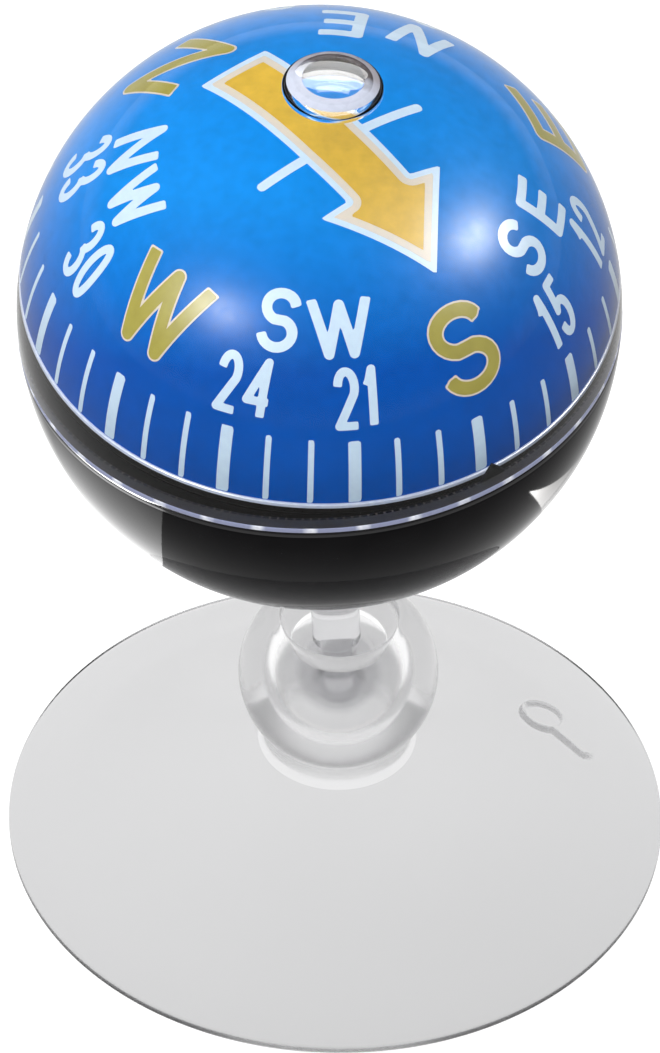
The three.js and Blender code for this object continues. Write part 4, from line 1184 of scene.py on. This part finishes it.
def add_lamps():
    """Soft lamps, and the lamps that only the card, the bowl or the bubble mirrors."""
    card = receivers("card_lit", [
        "card_shell", "white_marks", "pale_marks", "gold_marks", "gold_letters", "card_edge"])
    for name, toward, power in (
        ("soft_right", (0.66, 0.245, 0.71), 22.0),
        ("soft_left", (-0.522, -0.368, 0.77), 13.0),
    ):
        small = lamp(name, FLOAT_CENTRE + 450.0 * np.array(toward), FLOAT_CENTRE, (75.0, 75.0), power, "DISK")
        small.light_linking.receiver_collection = card
        small.visible_diffuse = False
    for name, place, power in (
        ("overhead", (-190.0, 150.0, 400.0), 0.85),
        ("front", (-60.0, -340.0, 260.0), 0.62),
    ):
        broad = lamp(name, place, BALL_CENTRE, (320.0, 320.0), power)
        broad.visible_glossy = False
        broad.visible_transmission = False
    bowl = receivers("bowl_mirror", ["black_bowl"])
    mirror_lamp("left_card", (-48.0, 5.0, 15.0), (-48.0, 5.0, 60.0), (180.0, 120.0), (0.512, 0.859, 0.0),
                left_glow, bowl)
    mirror_lamp("right_card", (12.0, 6.6, 15.0), (12.0, 6.6, 60.0), (74.0, 30.0), (-0.365, 0.931, 0.0),
                right_glow, bowl, (1.0, 0.985, 0.97, 1.0))
    mirror_lamp("left_wall", (-150.0, 60.0, 130.0), (0.0, 60.0, 130.0), (310.0, 150.0), (0.0, 1.0, 0.0),
                lambda shader, spot: 55.0, bowl)
    back = BALL_CENTRE + 300.0 * np.array([0.03, 0.80, 0.60])
    oval = mirror_lamp("back_card", tuple(back), tuple(BALL_CENTRE), (92.0, 64.0), (1.0, 0.0, 0.0),
                       lambda shader, spot: 9.0, receivers("bubble_mirror", ["clear_dome", "air_bubble"]))
    oval.data.shape = "ELLIPSE"


def add_camera(scene):
    """Camera at the photograph's angle, with CAMERA_SCALE pixels of the photograph to a millimetre."""
    camera = bpy.data.cameras.new("camera")
    camera.sensor_width = 36.0
    camera.lens = 36.0 * CAMERA_DISTANCE * CAMERA_SCALE / PICTURE_HEIGHT
    camera.clip_start, camera.clip_end = 0.1, 10.0
    view = bpy.data.objects.new("camera", camera)
    scene.collection.objects.link(view)
    scene.camera = view
    rise = math.radians(CAMERA_ELEVATION)
    place = (AIM[0], AIM[1] - CAMERA_DISTANCE * math.cos(rise), AIM[2] + CAMERA_DISTANCE * math.sin(rise))
    aim(view, place, AIM, math.radians(CAMERA_ROLL))


def make_stage(context):
    """Pale floor, white surround, soft lamps and the camera at the photograph's angle."""
    scene = context.scene
    scene.view_settings.view_transform = "Standard"
    add_world(scene)
    add_floor()
    add_lamps()
    add_camera(scene)


# Operators

def operator(key, label, work):
    """An operator class that makes one piece or group of like pieces."""
    def execute(self, context):
        work(context)
        return {"FINISHED"}
    return type("COMPASS_OT_" + key, (bpy.types.Operator,), {
        "bl_idname": "compass." + key,
        "bl_label": label,
        "__doc__": work.__doc__,
        "execute": execute,
    })


STEPS = [
    ("cup", "Suction cup", make_cup),
    ("stem", "Stem and socket", make_stem),
    ("bowl", "Black bowl", make_bowl),
    ("seam", "Seam ring and pointer", make_seam),
    ("card", "Card", make_card),
    ("printing", "Printing", make_printing),
    ("inside", "Inner parts", make_inside),
    ("dome", "Clear dome", make_dome),
    ("bubble", "Air bubble", make_bubble),
    ("stage", "Stage", make_stage),
]
OPERATORS = [operator(*step) for step in STEPS]


class COMPASS_PT_panel(bpy.types.Panel):
    """Lists the compass's settings and its operators."""
    bl_idname = "COMPASS_PT_panel"
    bl_label = "Compass"
    bl_space_type = "VIEW_3D"
    bl_region_type = "UI"
    bl_category = "Compass"

    def draw(self, context):
        """Lays out every setting, then every operator."""
        settings = settings_of(context)
        for name in settings.bl_rna.properties.keys():
            if name not in ("rna_type", "name"):
                self.layout.prop(settings, name)
        for made in OPERATORS:
            self.layout.operator(made.bl_idname)


CLASSES = [COMPASS_PG_settings, *OPERATORS, COMPASS_PT_panel]


def register():
    """Registers the classes and gives the scene its settings."""
    for made in CLASSES:
        bpy.utils.register_class(made)
    bpy.types.Scene.compass = bpy.props.PointerProperty(type=COMPASS_PG_settings)


def unregister():
    """Undoes register, last class first."""
    del bpy.types.Scene.compass
    for made in reversed(CLASSES):
        bpy.utils.unregister_class(made)


def main():
    """Makes every piece by its operator and writes the box before and after."""
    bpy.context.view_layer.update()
    register()
    for key, _, _ in STEPS:
        getattr(bpy.ops.compass, key)()


if __name__ == "__main__":
    main()
